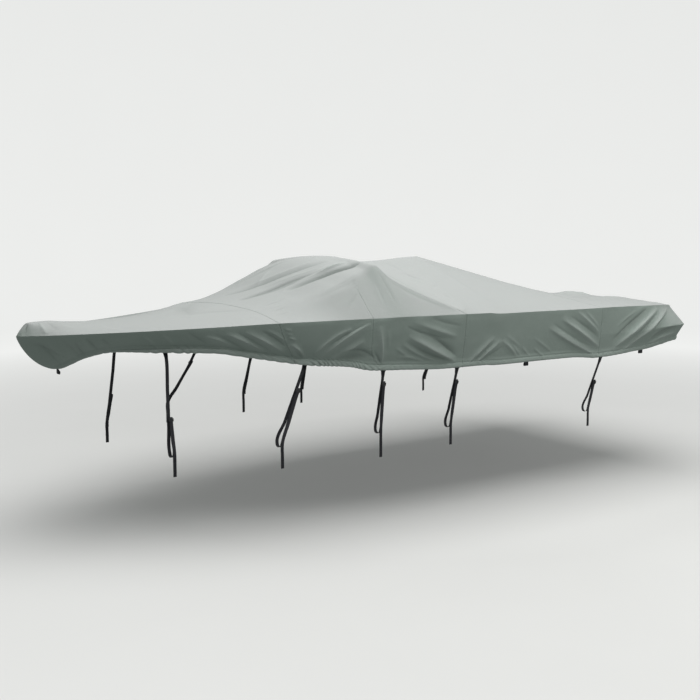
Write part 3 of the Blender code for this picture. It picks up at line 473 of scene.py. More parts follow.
# ---- colours, linear ----
CLOTH_DARK = (0.195, 0.238, 0.214, 1.0)
CLOTH_LIGHT = (0.222, 0.268, 0.242, 1.0)
# lighter, greyer cloth for upward faces: partly sun bleaching, partly painted top light
CLOTH_LIT_AND_BLEACHED = (0.288, 0.295, 0.294, 1.0)
CLOTH_SLOPE_LIT_AND_BLEACHED = (0.243, 0.252, 0.249, 1.0)
# darker cloth for troughs: painted shade, with some dirt
CLOTH_TROUGH_SHADE_AND_DIRT = (0.100, 0.118, 0.108, 1.0)
FOLD_SHADE_FULL = 0.016        # a trough this deep gets the full painted shade with dirt, and a ridge the full painted highlight with wear
CLOTH_WORN = (0.270, 0.300, 0.282, 1.0)
CLOTH_PALE = (0.330, 0.362, 0.346, 1.0)
WEB_DARK = (0.010, 0.010, 0.014, 1.0)
WEB_RIB = (0.030, 0.030, 0.036, 1.0)
WEB_RUBBED = (0.060, 0.060, 0.062, 1.0)
PLASTIC_DARK = (0.010, 0.010, 0.012, 1.0)
PLASTIC_SCUFF = (0.040, 0.040, 0.042, 1.0)
FLOOR_DARK = (0.43, 0.43, 0.425, 1.0)
FLOOR_LIGHT = (0.46, 0.46, 0.455, 1.0)
FLOOR_GLOW = (1.0, 1.0, 0.99, 1.0)
THREAD_PITCH = 0.0016    # the cloth's yarns
WAVE_UNIT = pi / 10      # scale of a wave texture with one wave in each metre
CRUMPLE = 0.30           # strength of the cloth's small soft dents

# ---- stage ----
FLOOR_REACH = 15.0       # radius of the flat floor, round the cover
FLOOR_CURVE = 4.0        # radius with which it turns up into the wall behind
FLOOR_HIGH = 14.0
FLOOR_SIDES = 96
GLOW_FROM, GLOW_TO = 3.0, 11.0   # distances between which the floor starts to glow
GLOW_NEAR, GLOW_FAR = 0.10, 0.66
SKY_COLOUR = (0.94, 1.0, 0.97, 1.0)
SKY_STRENGTH = 0.345
Lamp = namedtuple("Lamp", "name place aim wide long watts colour")
LAMPS = table_of(
    Lamp,
    ("overhead", (-0.6, -1.2, 5.6), (-0.6, -0.7, -0.8), 8.0, 7.0, 825.0, (1.0, 0.995, 0.985)),
    ("side", (1.9, -4.9, 0.9), (1.4, -1.0, -0.8), 2.4, 2.4, 38.0, (1.0, 1.0, 0.96)),
)


def cubic(values, tangent, span, i, t):
    """A smooth curve from knot i to the next, at share t of the way."""
    return (
        values[i] * (1 + 2 * t) * (1 - t) ** 2
        + tangent[i] * span[i] * t * (1 - t) ** 2
        + values[i + 1] * t * t * (3 - 2 * t)
        + tangent[i + 1] * span[i] * t * t * (t - 1)
    )


def ease(values, stations, x):
    """A column of a table at x, on a smooth curve that never overshoots its rows."""
    stations = np.asarray(stations, float)
    values = np.asarray(values, float)
    step = np.diff(stations)
    slope = np.diff(values) / step
    tangent = np.zeros(len(values))
    same_way = slope[:-1] * slope[1:] > 0
    mean = 2 * slope[:-1] * slope[1:] / np.where(same_way, slope[:-1] + slope[1:], 1)
    tangent[1:-1] = np.where(same_way, mean, 0)
    tangent[0], tangent[-1] = slope[0], slope[-1]
    x = np.clip(x, stations[0], stations[-1])
    i = np.clip(np.searchsorted(stations, x, side="right") - 1, 0, len(step) - 1)
    t = (x - stations[i]) / step[i]
    return cubic(values, tangent, step, i, t)


def column(table, name, x):
    return ease([getattr(row, name) for row in table], [row.station for row in table], x)


def rise_share(x, s):
    """Height above the rim as a share of the crest's, at share s of the half width."""
    out = column(SECTIONS, "knee_out", x)
    up = column(SECTIONS, "knee_up", x)
    crest_round = column(SECTIONS, "crest_round", x)
    knee_round = column(SECTIONS, "knee_round", x)

    def bent(value):
        return np.sqrt(value**2 + crest_round**2) - crest_round

    upper = 1 - (1 - up) * bent(s) / bent(out)
    lower = up * (1 - s) / (1 - out)
    blend = np.maximum(knee_round - np.abs(upper - lower), 0)
    fade = np.clip((1 - s) * 4, 0, 1)
    return np.minimum(upper, lower) - fade * blend**2 / (4 * knee_round)


def along(px, py, x0, y0, x1, y1):
    """Distance to a line, and how far along it, with 0 at its start and 1 at its end."""
    dx, dy = x1 - x0, y1 - y0
    length = np.hypot(dx, dy)
    share = ((px - x0) * dx + (py - y0) * dy) / length**2
    away = ((px - x0) * dy - (py - y0) * dx) / length
    return away, share


def swell(share):
    """Fades a fold in and out at its ends."""
    inside = np.clip(share, 0, 1)
    return np.sin(pi * inside) ** 0.7


def top_relief(x, y):
    total = np.zeros(np.broadcast(x, y).shape)
    for fold in TOP_FOLDS:
        for place in ((y, -y) if fold.both else (y,)):
            away, share = along(x, place, fold.x0, fold.y0, fold.x1, fold.y1)
            wide = fold.wide0 + (fold.wide1 - fold.wide0) * np.clip(share, 0, 1)
            at_tail = np.clip(share * 1.6, 0, 1) ** 2 * (share < 1.02)
            taper = at_tail if fold.x1 >= TAIL_STATION else swell(share)
            total += fold.rise * taper * np.exp(-((away / wide) ** 2))
    return total


def hem_part(a):
    """What skirt_relief() adds for the hem's band."""
    return HEM_PUFF * np.sin(pi * np.clip((a - HEM_BAND) / (1 - HEM_BAND), 0, 1))


def skirt_relief(place_x, down, a):
    """How far folds stand out at a place aft of the nose and below the rim, in metres."""
    total = np.zeros(a.shape)
    for fold in SKIRT_FOLDS:
        away, share = along(place_x, down, fold.x0, fold.down0, fold.x1, fold.down1)
        total += fold.rise * swell(share) * np.exp(-((away / fold.wide) ** 2))
    return total + hem_part(a)


def outward(x, side):
    """The level direction away from the rim; it turns aft round the rear corners."""
    low = np.clip(x - 0.01, 0, None)
    high = np.clip(x + 0.01, None, TAIL_STATION)
    gain = column(SECTIONS, "half_width", high) - column(SECTIONS, "half_width", low)
    angle = np.arctan2(gain, high - low)
    corner = np.clip((x - TAIL_STATION + TAIL_ROUND) / TAIL_ROUND, 0, 1)
    angle = angle - (angle + pi / 4) * corner**2
    return np.stack([-np.sin(angle), side * np.cos(angle), 0 * angle], axis=-1)


def pulled_station(x, s):
    """Where a row lies on top: the rows behind the dome bend forward inside the rims."""
    before = np.clip((x - PULL_START) / (PULL_STATION - PULL_START), 0, 1)
    after = np.clip((PULL_END - x) / (PULL_END - PULL_STATION), 0, 1)
    inside = np.clip((1 - s) / (1 - PULL_OUT), 0, 1)
    return x - PULL * np.minimum(before, after) * inside


def surface(x, v):
    """The outer face at station x. v runs from -2, the near hem, by -1, the near rim,
    0, the crest, and 1, the far rim, to 2, the far hem."""
    x, v = np.broadcast_arrays(np.asarray(x, float), np.asarray(v, float))
    side = np.where(v < 0, -1.0, 1.0)
    s = np.minimum(np.abs(v), 1)
    a = np.maximum(np.abs(v) - 1, 0)
    x = pulled_station(x, s)
    half = column(SECTIONS, "half_width", x)
    rim = column(SECTIONS, "rim", x)
    crest = column(SECTIONS, "crest", x)
    height = rim + (crest - rim) * rise_share(x, s)
    height = height + top_relief(x, side * s * half) * np.clip((1 - s) * 6, 0, 1)
    inset, down = hang_profile(x, a)
    back = column(HANGS, "back", x) * inset
    width = s * half + (column(HANGS, "hem_half", x) - half) * inset
    kinked = np.minimum(a / FLARE_AT, (1 - a) / (1 - FLARE_AT))
    bulge = column(HANGS, "flare", x) * kinked + skirt_relief(x + back, down, a) * s**8
    place = np.stack([x + back, side * width, height - down], axis=-1)
    place = place + outward(x, side) * bulge[..., None]
    place[..., 1] *= np.clip(x / 0.01, 0, 1)
    return place


def hang_profile(x, a):
    """How far the skirt has gone towards the hem's plan, as a share, and how far down
    it is, in metres, at share a of its depth."""
    under = column(HANGS, "under", x)
    turn = a * pi / 2
    down = column(HANGS, "drop", x) * ((1 - under) * a + under * np.sin(turn) ** 1.54)
    inset = (1 - under) * a**HANG_CURVE + under * (1 - np.cos(turn))
    return inset, down


def tail_surface(r, s):
    """The cloth that hangs down behind: r runs from the top edge, 0, to the hem, 1."""
    r, s = np.broadcast_arrays(np.asarray(r, float), np.asarray(s, float))
    edge = surface(TAIL_STATION + 0 * s, s)
    corner = surface(TAIL_STATION + 0 * r, 1 + r)
    top_corner, hem_corner = surface(TAIL_STATION, 1.0), surface(TAIL_STATION, 2.0)
    aft = corner[..., 0] - TAIL_STATION
    wider = (corner[..., 1] - top_corner[1]) / top_corner[1]
    fallen = (top_corner[2] - corner[..., 2]) / (top_corner[2] - hem_corner[2])
    middle = 1 - np.abs(s) ** 6
    place = edge.copy()
    place[..., 0] += aft * (1 + TAIL_FULLER * middle)
    place[..., 1] *= 1 + wider * np.abs(s)
    place[..., 2] += (hem_corner[2] - edge[..., 2]) * fallen
    return place


def facing(function, u, w, reach=0.003):
    """Unit normals of a surface, found by small steps both ways."""
    across = function(u, w + reach) - function(u, w - reach)
    onward = function(u + reach, w) - function(u - reach, w)
    normal = np.cross(onward, across)
    return normal / np.maximum(np.linalg.norm(normal, axis=-1, keepdims=True), 1e-12)


def stretch(x, v):
    """Metres of cloth for each metre of station."""
    onward = surface(x + STRETCH_STEP, v) - surface(x - STRETCH_STEP, v)
    return np.linalg.norm(onward, axis=-1) / (2 * STRETCH_STEP)


def to_origin(points):
    return points - np.array([PEAK_STATION, 0.0, PEAK_UNDERSIDE])


def unit(vector):
    return vector / np.linalg.norm(vector)


def side_hem(station, side):
    """The outer face near a place on a side's hem, by metres along and share straight
    up, whichever way the cloth's rows slant there."""
    back = column(HANGS, "back", station)

    def place(along_hem, up):
        inset, _ = hang_profile(station, 1 - up)
        return surface(station + along_hem + back * (1 - inset), side * (2 - up))

    return place


def tail_hem(side):
    """The same near a rear corner, on the cloth that hangs behind."""
    middle = side * CORNER_LOOP_OUT
    half = SECTIONS[-1].half_width
    return lambda along_hem, up: tail_surface(1 - up, middle + along_hem / half)


def behind(cloth, half_wide, out, sewn):
    """The middle of a strip of webbing at the hem's edge, just behind the cloth. sewn:
    how far up it reaches, as a share of the skirt's depth."""
    edge = cloth(0.0, 0.0)
    shares = [(i, j) for i in np.linspace(-1, 1, 7) for j in np.linspace(0, 1, 5)]
    nearest = min(float((cloth(half_wide * i, sewn * j) - edge) @ out) for i, j in shares)
    return edge + out * (nearest - CLOTH - SEAT_GAP - WEB_THICK / 2)


def seat(cloth, half_wide, clear):
    """Where webbing is sewn flat behind a hem: its middle at the hem's edge, and the
    unit directions along the hem and up the cloth. clear: how far in it's set."""
    edge = cloth(0.0, 0.0)
    rise = cloth(0.0, 1 - HEM_BAND) - edge
    sewn = (1 - HEM_BAND) * SEWN_UP / np.linalg.norm(rise)
    up = unit(cloth(0.0, sewn) - edge)
    hem_run = unit(cloth(half_wide, 0.0) - cloth(-half_wide, 0.0))
    out = unit(np.cross(hem_run, up)) * -np.sign(edge[1])
    return behind(cloth, half_wide, out, sewn) - out * clear, hem_run, up


def arc(centre, start, over, turn_from, turn_to, count):
    """Points on an arc. start, over: its radius vectors at 0 and at a quarter turn."""
    turns = np.linspace(turn_from, turn_to, count)
    return [centre + start * np.cos(t) + over * np.sin(t) for t in turns]


def tie_path(tie, side):
    """The middle line of a tie: from behind the hem down to its foot, back up to the
    buckle, over, and down again to the free end. Also where the fold lies in the list."""
    cloth = side_hem(tie.station, side)
    middle, hem_run, up = seat(cloth, TIE_TOP_WIDTH / 2, tie.clear)
    away = FAR * side
    foot = np.array([tie.foot_x, side * tie.foot_y, tie.foot_up])
    down = unit(foot - middle)
    first = middle + down * TIE_TAPER
    inner = foot - AFT * STRAND_SPREAD
    outer = foot + AFT * STRAND_SPREAD + away * 2 * FOOT_RADIUS
    join = middle + (foot - middle) * tie.join + AFT * STRAND_SPREAD + away * STRAND_DEPTH
    points = [middle + up * SEWN_UP, middle + up * SEWN_UP / 2, middle]
    points += [middle - up * TIE_STRAIGHT, first]
    points += [first + (inner - first) * t for t in (0.35, 0.7, 1.0)]
    centre = (inner + outer) / 2
    drop = np.array([0.0, 0.0, -FOOT_RADIUS])
    points += arc(centre, inner - centre, drop, pi / 6, 5 * pi / 6, 5)
    points += [outer + (join - outer) * t for t in (0.0, 0.35, 0.7, 1.0)]
    fold_centre = join + away * FOLD_RADIUS
    over = -unit(outer - join) * FOLD_RADIUS
    points += arc(fold_centre, -away * FOLD_RADIUS, over, pi / 6, pi, 5)
    fold = len(points) - 1
    hang = outer + away * STRAND_DEPTH
    points += [points[-1] + (hang - points[-1]) * t for t in (0.2, 0.6, 1.0)]
    free = hang + np.array([0.0, 0.0, -tie.tail])
    points += [hang + (free - hang) * t for t in (0.5, 1.0)]
    flats = [hem_run] * 3 + [AFT] * (len(points) - 3)
    wide = [TIE_TOP_WIDTH] * 3 + [(TIE_TOP_WIDTH + WEB_WIDTH) / 2]
    wide += [WEB_WIDTH] * (len(points) - 4)
    return points, wide, flats, fold


def waves(u, w, cell_u, cell_w, seed):
    """Smooth uneven waves between -1 and 1, the same on each run."""
    lattice = np.random.default_rng(seed).uniform(-1, 1, (LATTICE, LATTICE))
    a, b = np.asarray(u) / cell_u + LATTICE // 2, np.asarray(w) / cell_w + LATTICE // 2
    i, j = np.floor(a).astype(int), np.floor(b).astype(int)
    p, q = a - i, b - j
    p, q = p * p * (3 - 2 * p), q * q * (3 - 2 * q)
    i, j = i % (LATTICE - 1), j % (LATTICE - 1)
    low = lattice[i, j] * (1 - p) + lattice[i + 1, j] * p
    high = lattice[i, j + 1] * (1 - p) + lattice[i + 1, j + 1] * p
    return low * (1 - q) + high * q


def crease_lift(table, x, y):
    """How far a table's creases lift the cloth at x, y."""
    x, y = np.broadcast_arrays(x, y)
    total = np.zeros(x.shape)
    for crease in table:
        away, share = along(x, y, crease.x0, crease.y0, crease.x1, crease.y1)
        away = away - crease.bow * 4 * share * (1 - share)
        close = np.abs(away) < CREASE_REACH * crease.wide
        close &= (share > 0) & (share < 1)
        away, share = away[close], share[close]
        taper = np.sin(pi * share ** (np.log(0.5) / np.log(crease.peak))) ** 0.8
        steep = np.sign(away) * crease.lean
        flank = crease.wide * np.where(steep > 0, 1 - 0.55 * steep, 1 - 0.35 * steep)
        total[close] += crease.rise * taper * np.exp(-np.abs(away / flank) ** CREASE_CURVE)
    return total


def top_creases(x, y):
    """The creases of the top, with those of the near side once more on the far side."""
    near = [c for c in TOP_CREASES if max(c.y0, c.y1) < 0 and abs(c.rise) < FAR_MOST]
    moved = x + FAR_SHIFT * np.sin(FAR_SWING * x)
    return crease_lift(TOP_CREASES, x, y) + FAR_SHARE * crease_lift(near, moved, -y)


def skirt_creases(x, down, side):
    far = side > 0
    moved = x + np.where(far, FAR_SHIFT * np.sin(FAR_SWING * x), 0)
    return crease_lift(SKIRT_CREASES, moved, down) * np.where(far, FAR_SHARE, 1)


def near_webbing(x):
    """1 beside a tie or a loop, where the hem is sewn flat, and 0 elsewhere."""
    stations = [tie.station for tie in TIES] + list(LOOP_STATIONS)
    return sum(np.exp(-(((x - s) / FLAT_REACH) ** 4)) for s in stations)


def gather_phase(x):
    """Turns of the hem's gathers up to a station, from their uneven pitch."""
    stations = np.linspace(0, TAIL_STATION + 1.2, 2000)
    pitch = column(GATHERS, "pitch", stations)
    turns = np.concatenate([[0], np.cumsum(np.diff(stations) / pitch[1:])])
    return np.interp(x, stations, turns)


def hem_lift(x, above, side):
    """The casing of the hem and its gathers. above: metres up from the hem's edge."""
    reach = column(GATHERS, "reach", x)
    slanted = x + column(GATHERS, "slant", x) * above
    uneven = waves(x, above + side, 0.10, 0.20, 31) * 0.30
    turns = gather_phase(slanted) + uneven + 0.37 * side
    strength = 0.65 + 0.55 * waves(x, side + 0 * x, 0.13, 1.0, 32)
    ridge = np.abs(np.sin(pi * turns)) ** 0.8 - 0.55
    fade = np.exp(-(np.maximum(above - CASING * 0.7, 0) / reach) ** 1.4)
    flat = 1 - np.clip(near_webbing(x), 0, 1)
    gathers = 2 * column(GATHERS, "deep", x) * strength * ridge * fade * flat
    share = np.clip(above / CASING, 0, 1)
    stitched = np.exp(-(((above - CASING) / 0.004) ** 2))
    rounded = np.minimum(share / CASING_CREST, 1) ** 0.5
    sloped = 1 - np.clip((share - CASING_CREST) / (1 - CASING_CREST), 0, 1) ** 1.3
    puff = column(GATHERS, "puff", x) * rounded * sloped
    return gathers + puff - CASING_VALLEY * stitched


def seam_lift(away, across, seed):
    """A lapped seam: its raised strip, the groove beside it and small puckers."""
    strip = np.clip(away / 0.0015, 0, 1) * np.clip((SEAM_STRIP - away) / 0.003, 0, 1)
    groove = np.exp(-((away / 0.0035) ** 2))
    uneven = waves(across, 0 * across, 0.06, 1.0, seed)
    pucker = np.sin(2 * pi * across / PUCKER_PITCH + 2.5 * uneven) * (0.6 + 0.5 * uneven)
    near = np.exp(-np.abs(away) / PUCKER_REACH)
    return SEAM_RISE * strip - SEAM_GROOVE * groove + PUCKER_DEEP * pucker * near


def whereabouts(x, v):
    """Where x, v lies: its side, its shares of the top and of the skirt, its station and
    metres from the centre line on top, and its station, metres below the rim and metres
    above the hem on the skirt."""
    side = np.where(v < 0, -1, 1)
    s = np.minimum(np.abs(v), 1)
    a = np.maximum(np.abs(v) - 1, 0)
    placed = pulled_station(x, s)
    out = s * column(SECTIONS, "half_width", placed)
    inset, down = hang_profile(x, a)
    hung = x + column(HANGS, "back", x) * inset
    return side, s, a, placed, out, hung, down, (1 - a) * column(HANGS, "drop", x)


def lift(x, v, metres):
    """How far the sheet stands out from the main surface. metres: of cloth for each
    metre of station."""
    side, s, a, placed, out, hung, down, above = whereabouts(x, v)
    loose = column(SLACK, "top", x)
    top = top_creases(placed, side * out)
    top += loose * waves(x, side * out, 0.21, 0.16, 11)
    top += 0.45 * loose * waves(x, side * out, 0.085, 0.070, 12)
    loose = column(SLACK, "skirt", x)
    hang = loose * waves(hung + 0.3 * down, side * (1 + down), 0.15, 0.13, 13)
    hang += 0.4 * loose * waves(hung + 0.5 * down, side * (1 + down), 0.06, 0.07, 14)
    skirt = (skirt_creases(hung, down, side) + hang) * np.clip(down / 0.020, 0, 1)
    skirt = skirt * (1 - 0.8 * np.clip(near_webbing(x), 0, 1) * np.clip(3 * a - 2, 0, 1))
    skirt = skirt + hem_lift(x, above, side)
    total = np.where(a > 0, skirt, top * np.clip((1 - s) * 8, 0, 1))
    across = side * (out + down)
    for number, seam in enumerate(SEAM_STATIONS):
        total += seam_lift((x - seam) * metres, across, 21 + number)
    line = column_v(DART, np.abs(v))
    sewn = np.clip((np.abs(v) - DART[0].v) / DART_FADE, 0, 1)
    total += sewn * seam_lift(x - line, across, 25)
    return total * np.clip(x / 0.05, 0, 1)


def fold_height(x, v):
    """How high on a ridge, or how low in a trough, the cloth lies: from -1 to 1. The
    hem's casing counts as a ridge."""
    side, _, a, placed, out, hung, down, above = whereabouts(x, v)
    top = top_creases(placed, side * out) + top_relief(placed, side * out)
    skirt = skirt_creases(hung, down, side) + skirt_relief(hung, down, a)
    hem = hem_lift(x, above, side)
    skirt = skirt - hem_part(a) + np.maximum(hem - HEM_PUFF, 0)
    # the cloth's colour paints shade in troughs and a highlight on ridges from this value
    return np.clip(np.where(a > 0, skirt, top) / FOLD_SHADE_FULL, -1, 1)


def column_v(table, v):
    """The station of a stitched line that is given by v."""
    return ease([row.station for row in table], [row.v for row in table], v)


def cloth(x, v):
    """The sheet's outer face with all its folds, and its unit normals before them."""
    x, v = np.broadcast_arrays(np.asarray(x, float), np.asarray(v, float))
    inside = np.clip(x, 0.004, TAIL_STATION)
    normal = facing(surface, inside, v)
    tip = (x <= 0)[..., None]
    level = normal * np.array([1.0, 0.0, 1.0])
    level /= np.maximum(np.linalg.norm(level, axis=-1, keepdims=True), 1e-9)
    normal = np.where(tip, level, normal)
    return surface(x, v) + normal * lift(x, v, stretch(inside, v))[..., None], normal


def sheet_rows(start, end):
    """Stations of a panel's rows, close together beside its seams and the dart."""
    close = [start, end] + [s for s in DART_ROWS if start < s < end]
    rows = [start]
    while rows[-1] < end:
        near = min(abs(rows[-1] - s) for s in close)
        rows.append(rows[-1] + (CLOSE_STEP if near < CLOSE_REACH else ROW_STEP))
    rows[-1] = end
    if start == 0:
        rows[1:1] = TIP_ROWS
    return np.array(rows)


def sheet_columns():
    top = np.linspace(0, 1 - RIM_SHARE, TOP_STEPS)
    rim = np.linspace(1 - RIM_SHARE, 1 + RIM_SHARE, 2 * RIM_STEPS + 1)[1:]
    skirt = np.linspace(1 + RIM_SHARE, 2 - BAND_SHARE, SKIRT_STEPS)[1:]
    band = np.linspace(2 - BAND_SHARE, 2, BAND_STEPS)[1:]
    half = np.concatenate([top, rim, skirt, band])
    return np.concatenate([-half[:0:-1], half])


def grid_faces(index):
    """The quads of a grid of point numbers, wound so that they face outwards."""
    corners = [index[:-1, :-1], index[1:, :-1], index[1:, 1:], index[:-1, 1:]]
    return np.stack([c.ravel() for c in corners], axis=1)


def linked(name, data):
    """An object of the scene, from a mesh, a lamp's data or a camera's."""
    made = bpy.data.objects.new(name, data)
    bpy.context.scene.collection.objects.link(made)
    return made


def smooth_object(name, mesh, material):
    mesh.materials.append(material)
    mesh.shade_smooth()
    return linked(name, mesh)


def ridden(name, mesh, material):
    """A piece of the part, at rest on its one body."""
    piece = smooth_object(name, mesh, material)
    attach(piece, "root")
    return piece


def piece_from(name, points, faces, material, places=None, marks=None):
    """A smooth mesh object. places: for each point, metres along the cloth both ways.
    marks: other values for each point, by name."""
    mesh = bpy.data.meshes.new(name)
    mesh.from_pydata(to_origin(points).tolist(), [], faces)
    if places is not None:
        corner = np.empty(len(mesh.loops), int)
        mesh.loops.foreach_get("vertex_index", corner)
        layer = mesh.uv_layers.new(name="metres")
        layer.data.foreach_set("uv", np.asarray(places, float)[corner].ravel())
    for label, values in (marks or {}).items():
        layer = mesh.attributes.new(label, "FLOAT", "POINT")
        layer.data.foreach_set("value", values)
    return ridden(name, mesh, material)


def tidy_faces(faces):
    """Drops the repeated corners of faces that end in a point."""
    kept = [tuple(dict.fromkeys(face)) for face in faces.tolist()]
    return [face for face in kept if len(face) > 2]


def hem_return(points, normal, edge, before):
    """Rows of points that turn the hem's edge under, for one run of the edge."""
    up = points[before] - points[edge]
    up = up / np.maximum(np.linalg.norm(up, axis=-1, keepdims=True), 1e-9)
    return [points[edge] - normal[edge] * deep + up * high for deep, high in HEM_TURN]


def hem_edge(points, places, normal, faces, edge, before):
    """Adds a turned hem along an edge to the lists of a sheet."""
    last = edge
    for depth, row in enumerate(hem_return(points, normal, edge, before), start=1):
        first = len(points)
        points = np.concatenate([points, row])
        normal = np.concatenate([normal, normal[edge]])
        places = np.concatenate([places, places[edge] + [0.0, 0.003 * depth]])
        fresh = np.arange(first, len(points))
        faces.append(grid_faces(np.stack([last, fresh], axis=1)))
        last = fresh
    return points, places, normal


def cloth_panel(name, start, end, material):
    """One cross panel of the sheet, from hem to hem. The last also hangs down behind."""
    rows, lines = sheet_rows(start, end), sheet_columns()
    under = end != TAIL_STATION
    grid_x, grid_v = np.meshgrid(rows, lines, indexing="ij")
    place, normal = cloth(grid_x, grid_v)
    folds = fold_height(grid_x, grid_v)
    if under:
        folds = np.pad(folds, ((0, 2), (0, 0)))
        place, normal = add_lap(place, normal)
    if start == 0:
        place[0, :, 1] = 0
    run = np.linalg.norm(np.diff(place, axis=1), axis=-1).cumsum(axis=1)
    run = np.pad(run, ((0, 0), (1, 0)))
    middle = len(lines) // 2
    run = run - run[:, middle:middle + 1]
    length = np.linalg.norm(np.diff(place[:, middle], axis=0), axis=-1).cumsum()
    length = start + np.pad(length, (1, 0))
    places = np.stack([np.broadcast_to(length[:, None], run.shape), run], axis=-1)
    index = np.arange(run.size).reshape(run.shape)
    if start == 0:
        index[0, middle + 1:] = index[0, middle - 1::-1]
        index[0, np.abs(lines) <= 1] = index[0, middle]
    points, normals = place.reshape(-1, 3), normal.reshape(-1, 3)
    places = places.reshape(-1, 2)
    faces = [grid_faces(index)]
    hem = np.concatenate([index[::-1, 0], index[1:, -1]]) if start == 0 else None
    before = np.concatenate([index[::-1, 1], index[1:, -2]]) if start == 0 else None
    if end == TAIL_STATION:
        points, places, normals, more = add_tail_sheet(index, lines, points, places, normals)
        faces.append(grid_faces(more))
        hem = np.concatenate([index[:, 0], more[-1, 1:-1], index[::-1, -1]])
        before = np.concatenate([index[:, 1], more[-2, 1:-1], index[::-1, -2]])
        hem, before = hem[::-1], before[::-1]
    if hem is None:
        for edge, inner in ((index[::-1, 0], index[::-1, 1]), (index[:, -1], index[:, -2])):
            points, places, normals = hem_edge(points, places, normals, faces, edge, inner)
    else:
        points, places, normals = hem_edge(points, places, normals, faces, hem, before)
    faces = tidy_faces(np.concatenate(faces))
    folds = np.pad(folds.ravel(), (0, len(points) - folds.size))
    # how far each point faces up, for the painted top light with sun bleaching, and its fold
    # height, for painted shade and highlight
    marks = {"top_light_and_bleach": np.clip(normals[:, 2], 0, 1), "fold": folds}
    return piece_from(name, points, faces, material, places, marks)


def add_lap(place, normal):
    """Two more rows at a panel's end, that lie under the next panel's edge."""
    onward = place[-1] - place[-2]
    onward = onward / np.linalg.norm(onward, axis=-1, keepdims=True)
    near = place[-1] + onward * LAP_START - normal[-1] * LAP_SINK
    far = place[-1] + onward * SEAM_STRIP - normal[-1] * LAP_DEEP
    more = np.stack([near, far])
    return np.concatenate([place, more]), np.concatenate([normal, normal[-1:], normal[-1:]])


def add_tail_sheet(index, lines, points, places, normals):
    """The cloth that hangs behind, welded to the last row, as a grid of numbers."""
    on_top = np.abs(lines) <= 1 + 1e-9
    across = lines[on_top]
    down = np.concatenate([[0.0], lines[lines > 1 + 1e-9] - 1])
    grid_r, grid_s = np.meshgrid(down, across, indexing="ij")
    base = tail_surface(grid_r, grid_s)
    normal = facing(tail_surface, np.maximum(grid_r, 0.01), np.clip(grid_s, -0.99, 0.99))
    half = SECTIONS[-1].half_width
    beyond = TAIL_STATION + half * (1 - np.abs(grid_s))
    depth = np.linalg.norm(base[-1] - base[0], axis=-1)[None, :]
    above = depth * (1 - grid_r)
    loose = SLACK[-1].skirt
    own = loose * waves(grid_s * half, grid_r * depth, 0.17, 0.14, 41)
    own += 0.4 * loose * waves(grid_s * half, grid_r * depth, 0.07, 0.08, 42)
    own += crease_lift(TAIL_CREASES, grid_s * half, grid_r * depth)
    own = own * np.clip(grid_r * 8, 0, 1) + hem_lift(beyond, above, np.sign(grid_s) + 0.0)
    edge_fade = 1 - np.exp(-(half * (1 - np.abs(grid_s)) / 0.10) ** 2)
    top_fade = np.clip(grid_r * depth / 0.05, 0, 1)
    place = base + normal * (own * edge_fade * top_fade)[..., None]
    last = index[-1]
    first_top = int(np.argmax(on_top))
    last_top = len(lines) - 1 - first_top
    left = last[first_top::-1]
    right = last[last_top:]
    top_shift = points[last[on_top]] - base[0]
    left_shift = points[left] - base[:, 0]
    right_shift = points[right] - base[:, -1]
    near_top = np.exp(-(grid_r * depth / 0.06))[..., None]
    near_left = np.exp(-(half * (1 + grid_s) / 0.08) ** 2)[..., None]
    near_right = np.exp(-(half * (1 - grid_s) / 0.08) ** 2)[..., None]
    place = place + top_shift[None] * near_top * (1 - near_left) * (1 - near_right)
    place = place + left_shift[:, None] * near_left + right_shift[:, None] * near_right
    grid = np.zeros(grid_r.shape, int)
    grid[0], grid[:, 0], grid[:, -1] = last[on_top], left, right
    inner = place[1:, 1:-1]
    grid[1:, 1:-1] = len(points) + np.arange(inner[..., 0].size).reshape(inner.shape[:2])
    points = np.concatenate([points, inner.reshape(-1, 3)])
    normals = np.concatenate([normals, normal[1:, 1:-1].reshape(-1, 3)])
    fall = np.stack([TAIL_STATION + grid_r * depth, grid_s * half], axis=-1)
    places = np.concatenate([places, fall[1:, 1:-1].reshape(-1, 2)])
    return points, places, normals, grid


def stitch_line(function, count_from):
    """Middles, runs and normals of stitches along a line. function: from shares between
    0 and 1 to points and normals. count_from: how many points to measure it with."""
    share = np.linspace(0, 1, count_from)
    points, _ = function(share)
    length = np.linalg.norm(np.diff(points, axis=0), axis=-1).cumsum()
    length = np.pad(length, (1, 0))
    even = np.interp(np.arange(STITCH_PITCH, length[-1], STITCH_PITCH), length, share)
    points, normal = function(even)
    return points, np.gradient(points, axis=0), normal


def stitches(name, lines, material):
    """One piece of many small stitches, each a short bar with sloped ends."""
    middles = np.concatenate([line[0] for line in lines])
    run = np.concatenate([line[1] for line in lines])
    normal = np.concatenate([line[2] for line in lines])
    run = run / np.linalg.norm(run, axis=-1, keepdims=True)
    aside = np.cross(normal, run)
    aside /= np.linalg.norm(aside, axis=-1, keepdims=True)
    shape = [
        (-0.5, -0.35, -0.3), (-0.5, 0.35, -0.3), (0.5, 0.35, -0.3), (0.5, -0.35, -0.3),
        (-0.3, -0.35, 0.6), (-0.3, 0.35, 0.6), (0.3, 0.35, 0.6), (0.3, -0.35, 0.6),
    ]
    points = [
        middles + run * STITCH_LONG * i + aside * STITCH_THICK * j + normal * STITCH_THICK * k
        for i, j, k in shape
    ]
    points = np.stack(points, axis=1).reshape(-1, 3)
    sides = [(4, 5, 6, 7), (0, 1, 5, 4), (1, 2, 6, 5), (2, 3, 7, 6), (3, 0, 4, 7)]
    first = 8 * np.arange(len(middles))[:, None, None]
    faces = (np.array(sides)[None] + first).reshape(-1, 4)
    piece = piece_from(name, points, faces.tolist(), material)


